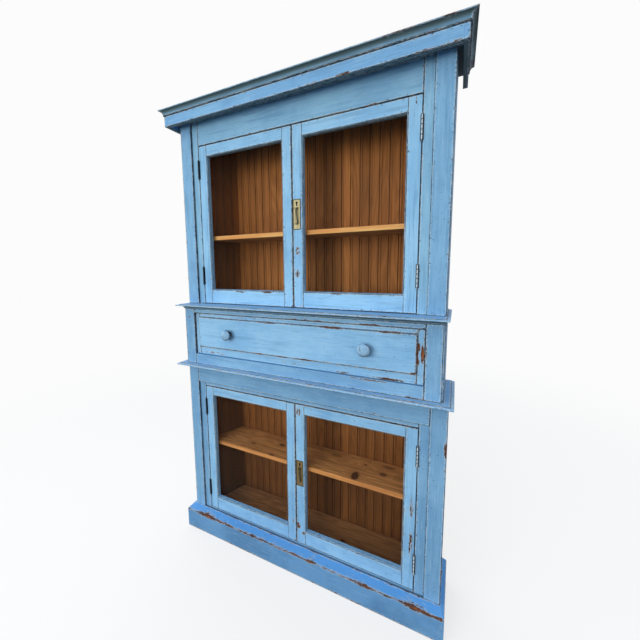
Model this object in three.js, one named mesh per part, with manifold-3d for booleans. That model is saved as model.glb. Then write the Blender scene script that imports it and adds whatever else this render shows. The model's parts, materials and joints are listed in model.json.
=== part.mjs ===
// Step back cupboard: a glazed upper case that stands back on a drawer section and a glazed base.
// Millimetres, +Z up, +X to the right, and the front faces -Y.
// The origin lies on the floor under the middle of the cupboard's footprint.
import * as THREE from "three";
import { mergeVertices } from "three/addons/utils/BufferGeometryUtils.js";
import Module from "manifold-3d";

const wasm = await Module();
wasm.setup();

// Clearances, and how far a cutting shape runs past what it cuts
const jointGap = 0.3;
const doorGap = 2.5;
const drawerGap = 2;
const overrun = 5;

// Boards shared by all three sections
const boardThickness = 20;
const backThickness = 13;
const frameThickness = 25;
const facingThickness = 10;
const shelfThickness = 20;
const shelfSetback = 7;

// Depths, from the front of the base pilasters to the back of the side boards
const caseDepth = 220;
const upperSetback = 4;
const middleProjection = 30;

// Base section
const baseHeight = 922;
const baseHalfWidth = 628;
const basePilasterWidth = 61;
const baseFrameStile = 99;
const baseHeadRail = 118.5;
const baseDoorStile = 48.5;
const baseTopRail = 49;
const friezeDrop = 98;
const bottomBoardHeight = 115;
const baseShelfHeight = 488;
const baseHingeRise = 118;
const baseHingeDrop = 112;

// Plinth, with a weathered top that rises to the case
const plinthFaceHeight = 101;
const plinthRise = 7;
const plinthFront = 49;
const plinthSide = 18;
const plinthFaceBoard = 22;
const plinthTopBoard = 18;

// Ledge over the base
const ledgeThickness = 10;
const ledgeOverhang = 17;
const ledgeFront = 66;

// Drawer section
const middleHeight = 280;
const middleSetIn = 19;
const middleStripWidth = 6;
const middleLapThickness = 4;
const middleFrameStile = 64;
const middleBottomRail = 50;
const middleTopRail = 20;

// Waist moulding over the drawer section
const waistThickness = 24;
const waistOverhang = 13;
const waistFront = 76;

// Upper section
const upperHeight = 889;
const upperSetIn = 2;
const upperPilasterWidth = 65;
const upperFrameStile = 100;
const upperHeadRail = 132.5;
const upperDoorStile = 50;
const upperTopRail = 54;
const upperShelfRise = 334;
const upperHingeRise = 137;
const upperHingeDrop = 108;

// Cornice: a fascia that hangs from the top board, and a crown moulding round the board's edge
const topThickness = 25;
const fasciaHeight = 47;
const fasciaThickness = 17;
const fasciaOverhang = 34;
const fasciaFront = 57;
const soffitThickness = 26;
const crownProjection = 19;
const crownFillet = 4;
const crownTopFillet = 2;

// Edges shared by the ledge and the waist moulding
const lipQuirkInset = 12;
const lipQuirkDrop = 2.5;
const lipNose = 2;
const lipBand = 20;
const waistLip = 8;
const ledgeCoveDrop = 26;
const coveShare = 0.68;
const coveSteps = 5;

// Doors
const doorThickness = 25;
const doorBottomRail = 71;
const glassThickness = 3;
const rabbetWidth = 8;
const rabbetDepth = 7;
const sashChamfer = 4;

// Butt hinges: five knuckles on a loose pin, with both leaves in the gap beside the door
const hingeLength = 82;
const knuckleCount = 5;
const knuckleGap = 0.4;
const knuckleRadius = 4;
const knuckleStandOff = 4.5;
const pinRadius = 2;
const pinTipRadius = 2.8;
const pinTipLength = 2.5;
const leafThickness = 1;
const leafDepth = 22;
const knuckleSides = 14;

// Lock plates with a drop pull
const plateWidth = 36;
const plateHeight = 125;
const plateThickness = 1.5;
const plateMeetingInset = 1.5;
const plateCorner = 4;
const upperLockRise = 393.5;
const baseLockRise = 357.5;
const keyholeRadius = 3.2;
const keyholeSlot = 9;
const keyholeSlotWidth = 3;
const keyholeRise = 47;
const keyholeSteps = 12;
const pullRise = 24;
const pullStandOff = 7;
const pullPinRadius = 1.3;
const pullEyeRadius = 3.2;
const pullEyeWidth = 6;
const pullLugWidth = 2.5;
const pullLugGap = 0.4;
const pullLength = 66;
const pullNeckRadius = 1.8;
const pullBulbRadius = 5;
const pullSpread = 1.4;
const pullSides = 14;

// The drop's outline: shares of the bulb's radius and of the pull's length, from its end upwards
const pullBulbShares = [[0.55, 0.985], [0.93, 0.93], [1, 0.86], [0.8, 0.72], [0.49, 0.5]];
const pullNeckShare = 0.25;
const pullRootShare = 0.7;

// Drawer
const drawerFrontThickness = 20;
const drawerRecess = 10;
const fieldRaise = 8;
const fieldSideMargin = 25;
const fieldTopMargin = 19;
const fieldBottomMargin = 37;
const fieldBevel = 3;
const drawerSideThickness = 12;
const drawerSideInset = 5;
const drawerSideTopGap = 28;
const drawerBackGap = 35;
const drawerBottomThickness = 6;
const drawerBottomRise = 12;
const drawerGrooveDepth = 5;
const drawerBackDrop = 10;
const runnerWidth = 68;
const runnerThickness = 22;
const guideHeight = 26;
const guideGap = 1;

// Turned knobs
const knobSpacingHalf = 329;
const knobRise = 115;
const knobLength = 38;
const knobHeadRadius = 26;
const knobFootRadius = 15;
const knobNeckRadius = 11;
const knobSides = 28;

// The knob's outline as [radius, share of its length], with shares of the head's radius on the head
const knobHeadShares = [[0.86, 0.52], [1, 0.66], [0.93, 0.82], [0.62, 0.95]];
const knobNeckShares = [0.26, 0.4];
const knobFootShare = 0.12;

// Beadboard for the backs and the canted side linings
const beadPitch = 43;
const beadWidth = 8;
const quirkWidth = 3.2;
const quirkDepth = 2.6;
const beadShoulder = 0.9;
const liningThickness = 10;
const liningFrontOffset = 14;
const liningBackInset = 68;
const housingDepth = 4;

// Half widths, each section from the one that carries it
const middleHalfWidth = baseHalfWidth - middleSetIn;
const upperHalfWidth = middleHalfWidth - upperSetIn;
const ledgeHalfWidth = baseHalfWidth + ledgeOverhang;
const waistHalfWidth = middleHalfWidth + waistOverhang;
const fasciaHalfWidth = upperHalfWidth + fasciaOverhang;
const baseOpeningHalf = baseHalfWidth - baseFrameStile;
const drawerOpeningHalf = middleHalfWidth - middleFrameStile;
const upperOpeningHalf = upperHalfWidth - upperFrameStile;

// Levels, from the floor up
const ledgeTop = baseHeight + ledgeThickness;
const middleTop = ledgeTop + middleHeight;
const waistTop = middleTop + waistThickness;
const upperTop = waistTop + upperHeight;
const overallTop = upperTop + topThickness;
const baseDoorBottom = plinthFaceHeight + plinthRise + doorGap;
const baseHeadRailBottom = baseHeight - baseHeadRail;
const baseDoorHeight = baseHeadRailBottom - doorGap - baseDoorBottom;
const friezeBottom = baseHeight - friezeDrop;
const upperDoorBottom = waistTop + doorGap;
const friezeRailBottom = upperTop - upperHeadRail;
const upperDoorHeight = friezeRailBottom - doorGap - upperDoorBottom;
const upperShelfHeight = waistTop + upperShelfRise;
const drawerOpeningBottom = ledgeTop + middleBottomRail;
const drawerOpeningTop = middleTop - middleTopRail;
const fasciaBottom = upperTop - fasciaHeight;

// Planes from front to back
const baseFrameFront = facingThickness;
const baseFrameBack = baseFrameFront + frameThickness;
const upperFaceFront = upperSetback;
const upperFrameFront = upperFaceFront + facingThickness;
const upperFrameBack = upperFrameFront + frameThickness;
const middleFront = -middleProjection;
const middleLapBack = middleFront + middleLapThickness;
const middleFrameBack = middleFront + frameThickness;
const drawerFace = middleFront + drawerRecess;
const drawerFrontBack = drawerFace + drawerFrontThickness;
const sideBack = caseDepth;
const caseBack = caseDepth + backThickness;
const frontmost = -Math.max(waistFront, ledgeFront, fasciaFront + crownProjection, plinthFront);

// Inner faces of the side boards
const baseInner = baseHalfWidth - boardThickness;
const middleInner = middleHalfWidth - boardThickness;
const upperInner = upperHalfWidth - boardThickness;

const materials = {
  paint: new THREE.MeshStandardMaterial({ color: 0x78aede, roughness: 0.6, metalness: 0 }),
  paintTop: new THREE.MeshStandardMaterial({ color: 0x5e9ddd, roughness: 0.6, metalness: 0 }),
  pine: new THREE.MeshStandardMaterial({ color: 0x9a5c2a, roughness: 0.55, metalness: 0 }),
  rawPine: new THREE.MeshStandardMaterial({ color: 0xc08a52, roughness: 0.7, metalness: 0 }),
  glass: new THREE.MeshStandardMaterial({ color: 0xdde8ea, roughness: 0.05, metalness: 0 }),
  brass: new THREE.MeshStandardMaterial({ color: 0xa98b3c, roughness: 0.4, metalness: 0.9 }),
  iron: new THREE.MeshStandardMaterial({ color: 0x6f7f8c, roughness: 0.5, metalness: 0.7 }),
};

const cupboard = new THREE.Group();
cupboard.position.y = -(frontmost + caseBack) / 2;

// Shape tools

// A closed mesh with its shared corners merged, as a solid that can be cut and joined
function solid(geometry) {
  const bare = geometry.clone();
  bare.deleteAttribute("normal");
  bare.deleteAttribute("uv");
  const merged = mergeVertices(bare);
  return new wasm.Manifold(new wasm.Mesh({
    numProp: 3,
    vertProperties: new Float32Array(merged.attributes.position.array),
    triVerts: new Uint32Array(merged.index.array),
  }));
}

// A named mesh of a finished solid, added to its group
function addPiece(group, name, shape, material) {
  const { vertProperties, triVerts } = shape.getMesh();
  const geometry = new THREE.BufferGeometry();
  geometry.setAttribute("position", new THREE.BufferAttribute(new Float32Array(vertProperties), 3));
  geometry.setIndex(new THREE.BufferAttribute(new Uint32Array(triVerts), 1));
  geometry.computeVertexNormals();
  const mesh = new THREE.Mesh(geometry, material);
  mesh.name = name;
  group.add(mesh);
  return mesh;
}

// Moves every vertex of a geometry by a rule, so that shared planes get exactly the same numbers
function remap(geometry, rule) {
  const position = geometry.attributes.position;
  for (let i = 0; i < position.count; i += 1) {
    position.setXYZ(i, ...rule(position.getX(i), position.getY(i), position.getZ(i)));
  }
  return geometry;
}

// A board between two planes on each axis
function board(x, y, z) {
  const pick = (value, [a, b]) => (value < 0 ? Math.min(a, b) : Math.max(a, b));
  return solid(remap(new THREE.BoxGeometry(1, 1, 1), (u, v, w) => [pick(u, x), pick(v, y), pick(w, z)]));
}

function outlineShape(points, holes = []) {
  const shape = new THREE.Shape(points.map(([u, v]) => new THREE.Vector2(u, v)));
  for (const hole of holes) {
    shape.holes.push(new THREE.Path(hole.map(([u, v]) => new THREE.Vector2(u, v))));
  }
  return shape;
}

function extruded(points, holes) {
  return new THREE.ExtrudeGeometry(outlineShape(points, holes), { depth: 1, bevelEnabled: false });
}

// An outline in plan, X and Y, carried up from one level to another
function planPrism(points, [bottom, top], holes) {
  return solid(remap(extruded(points, holes), (u, v, w) => [u, v, w > 0 ? top : bottom]));
}

// An outline in elevation, X and Z, carried back from one plane to another
function facePrism(points, [front, back], holes) {
  return solid(remap(extruded(points, holes), (u, v, w) => [u, w > 0 ? front : back, v]));
}

function rectangle([x0, x1], [z0, z1]) {
  return [[x0, z0], [x1, z0], [x1, z1], [x0, z1]];
}

// A moulding: its section, in projection and height, carried through a row of stations.
// Each station turns a projection into a place in plan, so two stations that share a mitre meet.
function moulding(section, stations) {
  const count = section.length;
  const corners = [];
  for (const station of stations) {
    for (const [projection, height] of section) {
      corners.push(...station(projection), height);
    }
  }
  const faces = [];
  const lastRow = (stations.length - 1) * count;
  for (let row = 0; row < lastRow; row += count) {
    for (let i = 0; i < count; i += 1) {
      const next = (i + 1) % count;
      faces.push(row + i, row + next, row + count + i);
      faces.push(row + next, row + count + next, row + count + i);
    }
  }
  const contour = section.map(([u, v]) => new THREE.Vector2(u, v));
  for (const [a, b, c] of THREE.ShapeUtils.triangulateShape(contour, [])) {
    faces.push(a, c, b, lastRow + a, lastRow + b, lastRow + c);
  }
  const geometry = new THREE.BufferGeometry();
  geometry.setAttribute("position", new THREE.Float32BufferAttribute(corners, 3));
  geometry.setIndex(faces);
  const shell = solid(geometry);
  if (shell.volume() > 0) {
    return shell;
  }
  geometry.setIndex(faces.toReversed());
  return solid(geometry);
}

// The four stations of a moulding that goes round the left side, the front and the right side.
// Projection is measured from a rectangle, and each direction may stretch it by its own factor.
function wrapStations(half, front, back, sideFactor = 1, frontFactor = 1) {
  const x = (projection) => half + projection * sideFactor;
  const y = (projection) => front - projection * frontFactor;
  return [
    (projection) => [-x(projection), back],
    (projection) => [-x(projection), y(projection)],
    (projection) => [x(projection), y(projection)],
    (projection) => [x(projection), back],
  ];
}

// A hollow quarter round between two points of a section
function coveCurve([u0, z0], [u1, z1], steps) {
  const points = [];
  for (let i = 0; i <= steps; i += 1) {
    const angle = (Math.PI / 2) * (i / steps);
    points.push([u1 - (u1 - u0) * Math.cos(angle), z0 + (z1 - z0) * Math.sin(angle)]);
  }
  return points;
}

function cylinder(radius, [z0, z1], sides) {
  const geometry = new THREE.CylinderGeometry(1, 1, 1, sides);
  return solid(remap(geometry, (u, v, w) => [u * radius, -w * radius, v > 0 ? z1 : z0]));
}

function union(...shapes) {
  return shapes.reduce((whole, shape) => whole.add(shape));
}

function sides(build) {
  build("left", -1);
  build("right", 1);
}

// Beadboard

// The face of tongue and groove boards between two points in plan, with a bead at every pitch.
// The face sinks along the given direction, and the rear is a straight line.
function beadedOutline(from, to, inward, rear) {
  const length = Math.hypot(to[0] - from[0], to[1] - from[1]);
  const along = [(to[0] - from[0]) / length, (to[1] - from[1]) / length];
  const at = (distance, depth) => [
    from[0] + along[0] * distance + inward[0] * depth,
    from[1] + along[1] * distance + inward[1] * depth,
  ];
  const beads = Math.floor((length - beadPitch) / beadPitch) + 1;
  const start = (length - (beads - 1) * beadPitch) / 2;
  const points = [from];
  for (let i = 0; i < beads; i += 1) {
    const centre = start + i * beadPitch;
    const edge = beadWidth / 2;
    points.push(at(centre - edge - quirkWidth, 0));
    points.push(at(centre - edge - quirkWidth / 2, quirkDepth));
    points.push(at(centre - edge, beadShoulder));
    points.push(at(centre, 0));
    points.push(at(centre + edge, beadShoulder));
    points.push(at(centre + edge + quirkWidth / 2, quirkDepth));
    points.push(at(centre + edge + quirkWidth, 0));
  }
  points.push(to, ...rear);
  return points;
}

function beadedBack(halfWidth, levels) {
  const outline = beadedOutline([-halfWidth, sideBack], [halfWidth, sideBack], [0, 1],
    [[halfWidth, caseBack], [-halfWidth, caseBack]]);
  return planPrism(outline, levels);
}

// Half the clear width between the canted linings at a plane inside the case
function liningFace(openingHalf, front, plane) {
  const share = (plane - front) / (sideBack - front);
  return openingHalf + liningFrontOffset - (liningFrontOffset + liningBackInset) * share;
}

// A canted lining, housed for the end of one shelf
function cantedLining(side, openingHalf, front, levels, shelfTop) {
  const near = front + jointGap;
  const far = sideBack - jointGap;
  const xNear = liningFace(openingHalf, front, near);
  const xFar = liningFace(openingHalf, front, far);
  const slope = Math.hypot(xNear - xFar, far - near);
  const across = liningThickness * slope / (far - near);
  const inward = [side * (far - near) / slope, (xNear - xFar) / slope];
  const outline = beadedOutline([side * xNear, near], [side * xFar, far], inward,
    [[side * (xFar + across), far], [side * (xNear + across), near]]);
  const housing = shelfOutline(openingHalf, front, housingDepth + jointGap, front - overrun, sideBack + overrun);
  const slot = [shelfTop - shelfThickness - jointGap, shelfTop + jointGap];
  return planPrism(outline, levels).subtract(planPrism(housing, slot));
}

// A shelf's outline between the linings, with its ends let into their housings
function shelfOutline(openingHalf, front, depthInLining, near, far) {
  const xNear = liningFace(openingHalf, front, near) + depthInLining;
  const xFar = liningFace(openingHalf, front, far) + depthInLining;
  return [[-xNear, near], [xNear, near], [xFar, far], [-xFar, far]];
}

// Base section: sides, face frame, applied pilasters and frieze, bottom, shelf and linings

const lower = new THREE.Group();
cupboard.add(lower);

sides((name, side) => {
  const x = [side * baseInner, side * baseHalfWidth];
  addPiece(lower, `base_side_${name}`, board(x, [baseFrameBack, sideBack], [0, baseHeight]), materials.paint);
  const pilaster = [side * (baseHalfWidth - basePilasterWidth), side * baseHalfWidth];
  addPiece(lower, `base_pilaster_${name}`,
    board(pilaster, [0, baseFrameFront], [0, baseHeight]), materials.paint);
  addPiece(lower, `base_lining_${name}`,
    cantedLining(side, baseOpeningHalf, baseFrameBack, [bottomBoardHeight, baseHeight], baseShelfHeight),
    materials.pine);
});

const baseFrame = facePrism(
  rectangle([-baseHalfWidth, baseHalfWidth], [0, baseHeight]),
  [baseFrameFront, baseFrameBack],
  [rectangle([-baseOpeningHalf, baseOpeningHalf], [plinthFaceHeight + plinthRise, baseHeadRailBottom])],
);
addPiece(lower, "base_face_frame", baseFrame, materials.paint);

const friezeHalf = baseHalfWidth - basePilasterWidth;
addPiece(lower, "base_frieze",
  board([-friezeHalf, friezeHalf], [0, baseFrameFront], [friezeBottom, baseHeight]), materials.paint);

addPiece(lower, "base_bottom",
  board([-baseInner, baseInner], [baseFrameBack + jointGap, sideBack],
    [bottomBoardHeight - shelfThickness, bottomBoardHeight]), materials.pine);

addPiece(lower, "base_shelf",
  planPrism(
    shelfOutline(baseOpeningHalf, baseFrameBack, housingDepth, baseFrameBack + shelfSetback, sideBack - jointGap),
    [baseShelfHeight - shelfThickness, baseShelfHeight]),
  materials.pine);

addPiece(lower, "lower_back", beadedBack(middleHalfWidth, [0, middleTop]), materials.pine);

// Plinth: a face board under a sloping top in front, and solid returns along the sides
const plinthTop = plinthFaceHeight + plinthRise;
const plinthSection = [[0, 0], [1, 0], [1, plinthFaceHeight], [0, plinthTop]];
const plinthHollow = board(
  [-baseHalfWidth, baseHalfWidth],
  [plinthFaceBoard - plinthFront, overrun],
  [-overrun, plinthFaceHeight - plinthTopBoard],
);
const plinth = moulding(plinthSection, wrapStations(baseHalfWidth, 0, sideBack, plinthSide, plinthFront))
  .subtract(plinthHollow);
addPiece(lower, "plinth", plinth, materials.paint);

// Moulded boards: a lip with a small step along its edge, over a cove

function lipSection(bottom, top) {
  return [
    [-lipBand, bottom],
    [-lipNose, bottom],
    [0, bottom + lipNose],
    [0, top - lipQuirkDrop - lipNose],
    [-lipNose, top - lipQuirkDrop],
    [-lipQuirkInset, top - lipQuirkDrop],
    [-lipQuirkInset, top],
    [-lipBand, top],
  ];
}

function mouldedBoard(half, front, [bottom, top], cove) {
  const core = board([-half + lipBand, half - lipBand], [front + lipBand, caseBack], [bottom, top]);
  const edge = moulding(lipSection(bottom, top), wrapStations(half, front, caseBack));
  const coveSection = [[0, bottom - cove.drop], ...coveCurve([0, bottom - cove.drop], [coveShare, bottom],
    coveSteps).slice(1), [0, bottom]];
  const stations = wrapStations(cove.half, cove.front, cove.back, half - cove.half, cove.front - front);
  return union(core, edge, moulding(coveSection, stations));
}

const ledge = mouldedBoard(ledgeHalfWidth, -ledgeFront, [baseHeight, ledgeTop],
  { half: baseHalfWidth, front: 0, back: sideBack, drop: ledgeCoveDrop });
const lowerBackHousing = board([-middleHalfWidth, middleHalfWidth], [sideBack, caseBack + overrun],
  [baseHeight - overrun, ledgeTop + overrun]);
addPiece(lower, "ledge_board", ledge.subtract(lowerBackHousing), materials.paintTop);

const waist = mouldedBoard(waistHalfWidth, -waistFront, [waistTop - waistLip, waistTop],
  { half: middleHalfWidth, front: middleFront, back: caseBack, drop: waistThickness - waistLip });
const waistCore = board([-middleHalfWidth, middleHalfWidth], [middleFront, caseBack],
  [middleTop, waistTop - waistLip]);
addPiece(lower, "waist_board", waist.add(waistCore), materials.paintTop);

// Drawer section: sides, a face frame that laps over them, and the runners

sides((name, side) => {
  const x = [side * middleInner, side * middleHalfWidth];
  addPiece(lower, `middle_side_${name}`, board(x, [middleLapBack, sideBack], [ledgeTop, middleTop]),
    materials.paint);
  const shelf = board([side * (middleInner - runnerWidth), side * middleInner], [middleFrameBack, sideBack],
    [drawerOpeningBottom - runnerThickness, drawerOpeningBottom]);
  const guide = board([side * (drawerOpeningHalf - drawerSideInset + guideGap), side * middleInner],
    [drawerFrontBack + guideGap, sideBack], [drawerOpeningBottom, drawerOpeningBottom + guideHeight]);
  addPiece(lower, `drawer_runner_${name}`, shelf.add(guide), materials.rawPine);
});

const drawerHole = rectangle([-drawerOpeningHalf, drawerOpeningHalf], [drawerOpeningBottom, drawerOpeningTop]);
const lapHalf = middleHalfWidth - middleStripWidth;
const middleLap = facePrism(rectangle([-lapHalf, lapHalf], [ledgeTop, middleTop]),
  [middleFront, middleLapBack], [drawerHole]);
const middleBody = facePrism(rectangle([-middleInner, middleInner], [ledgeTop, middleTop]),
  [middleLapBack, middleFrameBack], [drawerHole]);
addPiece(lower, "middle_face_frame", middleLap.add(middleBody), materials.paint);

// Drawer: a front with a raised field, grooved sides, a back, a loose bottom and two turned knobs

const drawer = new THREE.Group();
cupboard.add(drawer);

const drawerHalf = drawerOpeningHalf - drawerGap;
const drawerBottom = drawerOpeningBottom + drawerGap;
const drawerTop = drawerOpeningTop - drawerGap;
const boxBottom = drawerOpeningBottom + jointGap;
const boxTop = drawerTop - drawerSideTopGap;
const boxHalf = drawerOpeningHalf - drawerSideInset;
const boxBack = sideBack - drawerBackGap;
const panelLevels = [boxBottom + drawerBottomRise, boxBottom + drawerBottomRise + drawerBottomThickness];
const grooveLevels = [panelLevels[0] - jointGap, panelLevels[1] + jointGap];
const panelHalf = boxHalf - drawerSideThickness + drawerGrooveDepth;

function raisedField(x, z) {
  const block = new THREE.BoxGeometry(1, 1, 1);
  return solid(remap(block, (u, v, w) => {
    const inset = v < 0 ? fieldBevel : 0;
    return [
      u < 0 ? x[0] + inset : x[1] - inset,
      v < 0 ? drawerFace - fieldRaise : drawerFace,
      w < 0 ? z[0] + inset : z[1] - inset,
    ];
  }));
}

const frontBoard = board([-drawerHalf, drawerHalf], [drawerFace, drawerFrontBack], [drawerBottom, drawerTop]);
const field = raisedField(
  [-drawerHalf + fieldSideMargin, drawerHalf - fieldSideMargin],
  [drawerBottom + fieldBottomMargin, drawerTop - fieldTopMargin],
);
const frontGroove = board([-panelHalf - jointGap, panelHalf + jointGap],
  [drawerFrontBack - drawerGrooveDepth - jointGap, drawerFrontBack + overrun], grooveLevels);
addPiece(drawer, "drawer_front", frontBoard.add(field).subtract(frontGroove), materials.paint);

sides((name, side) => {
  const inner = boxHalf - drawerSideThickness;
  const plank = board([side * inner, side * boxHalf], [drawerFrontBack, boxBack], [boxBottom, boxTop]);
  const groove = board([side * (inner - overrun), side * (panelHalf + jointGap)],
    [drawerFrontBack - overrun, boxBack + overrun], grooveLevels);
  addPiece(drawer, `drawer_side_${name}`, plank.subtract(groove), materials.rawPine);

  const knobProfile = [
    [0, 0],
    [knobFootRadius, 0],
    [knobFootRadius, knobLength * knobFootShare],
    ...knobNeckShares.map((share) => [knobNeckRadius, knobLength * share]),
    ...knobHeadShares.map(([radiusShare, share]) => [knobHeadRadius * radiusShare, knobLength * share]),
    [0, knobLength],
  ].map(([radius, height]) => new THREE.Vector2(radius, height));
  const knob = addPiece(drawer, `drawer_knob_${name}`,
    solid(new THREE.LatheGeometry(knobProfile, knobSides)), materials.paint);
  knob.rotation.x = Math.PI;
  knob.position.set(side * knobSpacingHalf, drawerFace - fieldRaise, drawerBottom + knobRise);
});

const drawerInner = boxHalf - drawerSideThickness;
addPiece(drawer, "drawer_back",
  board([-drawerInner, drawerInner], [boxBack - drawerSideThickness, boxBack],
    [grooveLevels[1], boxTop - drawerBackDrop]),
  materials.rawPine);
addPiece(drawer, "drawer_bottom",
  board([-panelHalf, panelHalf], [drawerFrontBack - drawerGrooveDepth, boxBack], panelLevels),
  materials.rawPine);

// Upper section: sides, face frame, applied pilasters, shelf, back and linings

const upper = new THREE.Group();
cupboard.add(upper);

sides((name, side) => {
  const x = [side * upperInner, side * upperHalfWidth];
  addPiece(upper, `upper_side_${name}`, board(x, [upperFrameBack, sideBack], [waistTop, upperTop]),
    materials.paint);
  const pilaster = [side * (upperHalfWidth - upperPilasterWidth), side * upperHalfWidth];
  addPiece(upper, `upper_pilaster_${name}`,
    board(pilaster, [upperFaceFront, upperFrameFront], [waistTop, upperTop]), materials.paint);
  addPiece(upper, `upper_lining_${name}`,
    cantedLining(side, upperOpeningHalf, upperFrameBack, [waistTop, upperTop], upperShelfHeight),
    materials.pine);
});

const upperFrame = facePrism([
  [-upperHalfWidth, waistTop],
  [-upperOpeningHalf, waistTop],
  [-upperOpeningHalf, friezeRailBottom],
  [upperOpeningHalf, friezeRailBottom],
  [upperOpeningHalf, waistTop],
  [upperHalfWidth, waistTop],
  [upperHalfWidth, upperTop],
  [-upperHalfWidth, upperTop],
], [upperFrameFront, upperFrameBack]);
addPiece(upper, "upper_face_frame", upperFrame, materials.paint);

addPiece(upper, "upper_shelf",
  planPrism(
    shelfOutline(upperOpeningHalf, upperFrameBack, housingDepth, upperFrameBack + shelfSetback, sideBack - jointGap),
    [upperShelfHeight - shelfThickness, upperShelfHeight]),
  materials.pine);
addPiece(upper, "upper_back", beadedBack(upperHalfWidth, [waistTop, upperTop]), materials.pine);

// Cornice: top board, a fascia box with its soffit strip, and a mitred crown moulding

addPiece(upper, "upper_top_board",
  board([-fasciaHalfWidth, fasciaHalfWidth], [-fasciaFront, caseBack], [upperTop, overallTop]),
  materials.paintTop);

const fasciaSection = [
  [-fasciaThickness, fasciaBottom],
  [0, fasciaBottom],
  [0, upperTop],
  [-fasciaThickness, upperTop],
];
const fascia = moulding(fasciaSection, wrapStations(fasciaHalfWidth, -fasciaFront, caseBack));
const soffitHalf = fasciaHalfWidth - fasciaThickness;
const soffitLevels = [upperTop - soffitThickness, upperTop];
const soffit = board([-soffitHalf, soffitHalf], [fasciaThickness - fasciaFront, upperFaceFront], soffitLevels);
const pilasterInner = upperHalfWidth - upperPilasterWidth;
const soffitTongue = board([-pilasterInner, pilasterInner], [upperFaceFront, upperFrameFront], soffitLevels);
addPiece(upper, "cornice_fascia", union(fascia, soffit, soffitTongue), materials.paint);

const crownSection = [
  [0, upperTop],
  [crownFillet, upperTop],
  ...coveCurve([crownFillet, upperTop + crownFillet],
    [crownProjection - crownTopFillet, overallTop - crownFillet], coveSteps),
  [crownProjection, overallTop - crownFillet],
  [crownProjection, overallTop],
  [0, overallTop],
];
const crownPath = wrapStations(fasciaHalfWidth, -fasciaFront, caseBack);
const behindMitre = (station) => (projection) => {
  const [x, y] = station(projection);
  return [x, y + jointGap];
};
addPiece(upper, "cornice_crown_left",
  moulding(crownSection, [crownPath[0], behindMitre(crownPath[1])]), materials.paint);
addPiece(upper, "cornice_crown_front", moulding(crownSection, [crownPath[1], crownPath[2]]), materials.paint);
addPiece(upper, "cornice_crown_right",
  moulding(crownSection, [behindMitre(crownPath[2]), crownPath[3]]), materials.paint);

// Doors: a rabbeted frame with the hung hinge leaves, a pane, and on the right doors a lock plate and pull

const knuckleLength = (hingeLength - (knuckleCount - 1) * knuckleGap) / knuckleCount;
const knuckleSpan = (index) => {
  const bottom = -hingeLength / 2 + index * (knuckleLength + knuckleGap);
  return [bottom, bottom + knuckleLength];
};

// One leaf of a hinge about its own axis. The first knuckle is 0 on the fixed leaf and 1 on the hung one.
function hingeLeaf(outward, firstKnuckle) {
  const leafX = [outward * (doorGap / 2 - leafThickness), outward * doorGap / 2];
  let leaf = board(leafX, [knuckleStandOff, leafDepth], [-hingeLength / 2, hingeLength / 2]);
  for (let index = firstKnuckle; index < knuckleCount; index += 2) {
    const span = knuckleSpan(index);
    leaf = union(leaf, board(leafX, [0, knuckleStandOff], span), cylinder(knuckleRadius, span, knuckleSides));
  }
  return leaf;
}

function fixedLeaf(outward) {
  const reach = hingeLength / 2 + pinTipLength;
  return union(
    hingeLeaf(outward, 0),
    cylinder(pinRadius, [-reach, reach], knuckleSides),
    cylinder(pinTipRadius, [hingeLength / 2, reach], knuckleSides),
    cylinder(pinTipRadius, [-reach, -hingeLength / 2], knuckleSides),
  );
}

function hungLeaf(outward) {
  const bore = cylinder(pinRadius + jointGap, [-hingeLength, hingeLength], knuckleSides);
  return hingeLeaf(outward, 1).subtract(bore);
}

function sashCutter(x, z, front) {
  const block = new THREE.BoxGeometry(1, 1, 1);
  const reach = sashChamfer + overrun;
  return solid(remap(block, (u, v, w) => {
    const spread = v < 0 ? reach : 0;
    return [
      u < 0 ? x[0] - spread : x[1] + spread,
      v < 0 ? front - overrun : front + sashChamfer,
      w < 0 ? z[0] - spread : z[1] + spread,
    ];
  }));
}

function keyholeOutline(x, z) {
  const points = [];
  const half = keyholeSlotWidth / 2;
  const mouth = Math.asin(half / keyholeRadius);
  for (let i = 0; i <= keyholeSteps; i += 1) {
    const angle = -Math.PI / 2 + mouth + (2 * Math.PI - 2 * mouth) * (i / keyholeSteps);
    points.push([x + keyholeRadius * Math.cos(angle), z + keyholeRadius * Math.sin(angle)]);
  }
  points.push([x - half, z - keyholeSlot], [x + half, z - keyholeSlot]);
  return points;
}

// The pull's section from its eye down to the end of the drop, as radius and height
function dropProfile() {
  return [
    [0, -pullLength],
    ...pullBulbShares.map(([radiusShare, share]) => [pullBulbRadius * radiusShare, -pullLength * share]),
    [pullNeckRadius, -pullLength * pullNeckShare],
    [pullNeckRadius, -pullEyeRadius * pullRootShare],
    [0, -pullEyeRadius * pullRootShare],
  ].map(([radius, height]) => new THREE.Vector2(radius, height));
}

function sideways(shape) {
  return shape.rotate([0, 90, 0]);
}

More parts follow.
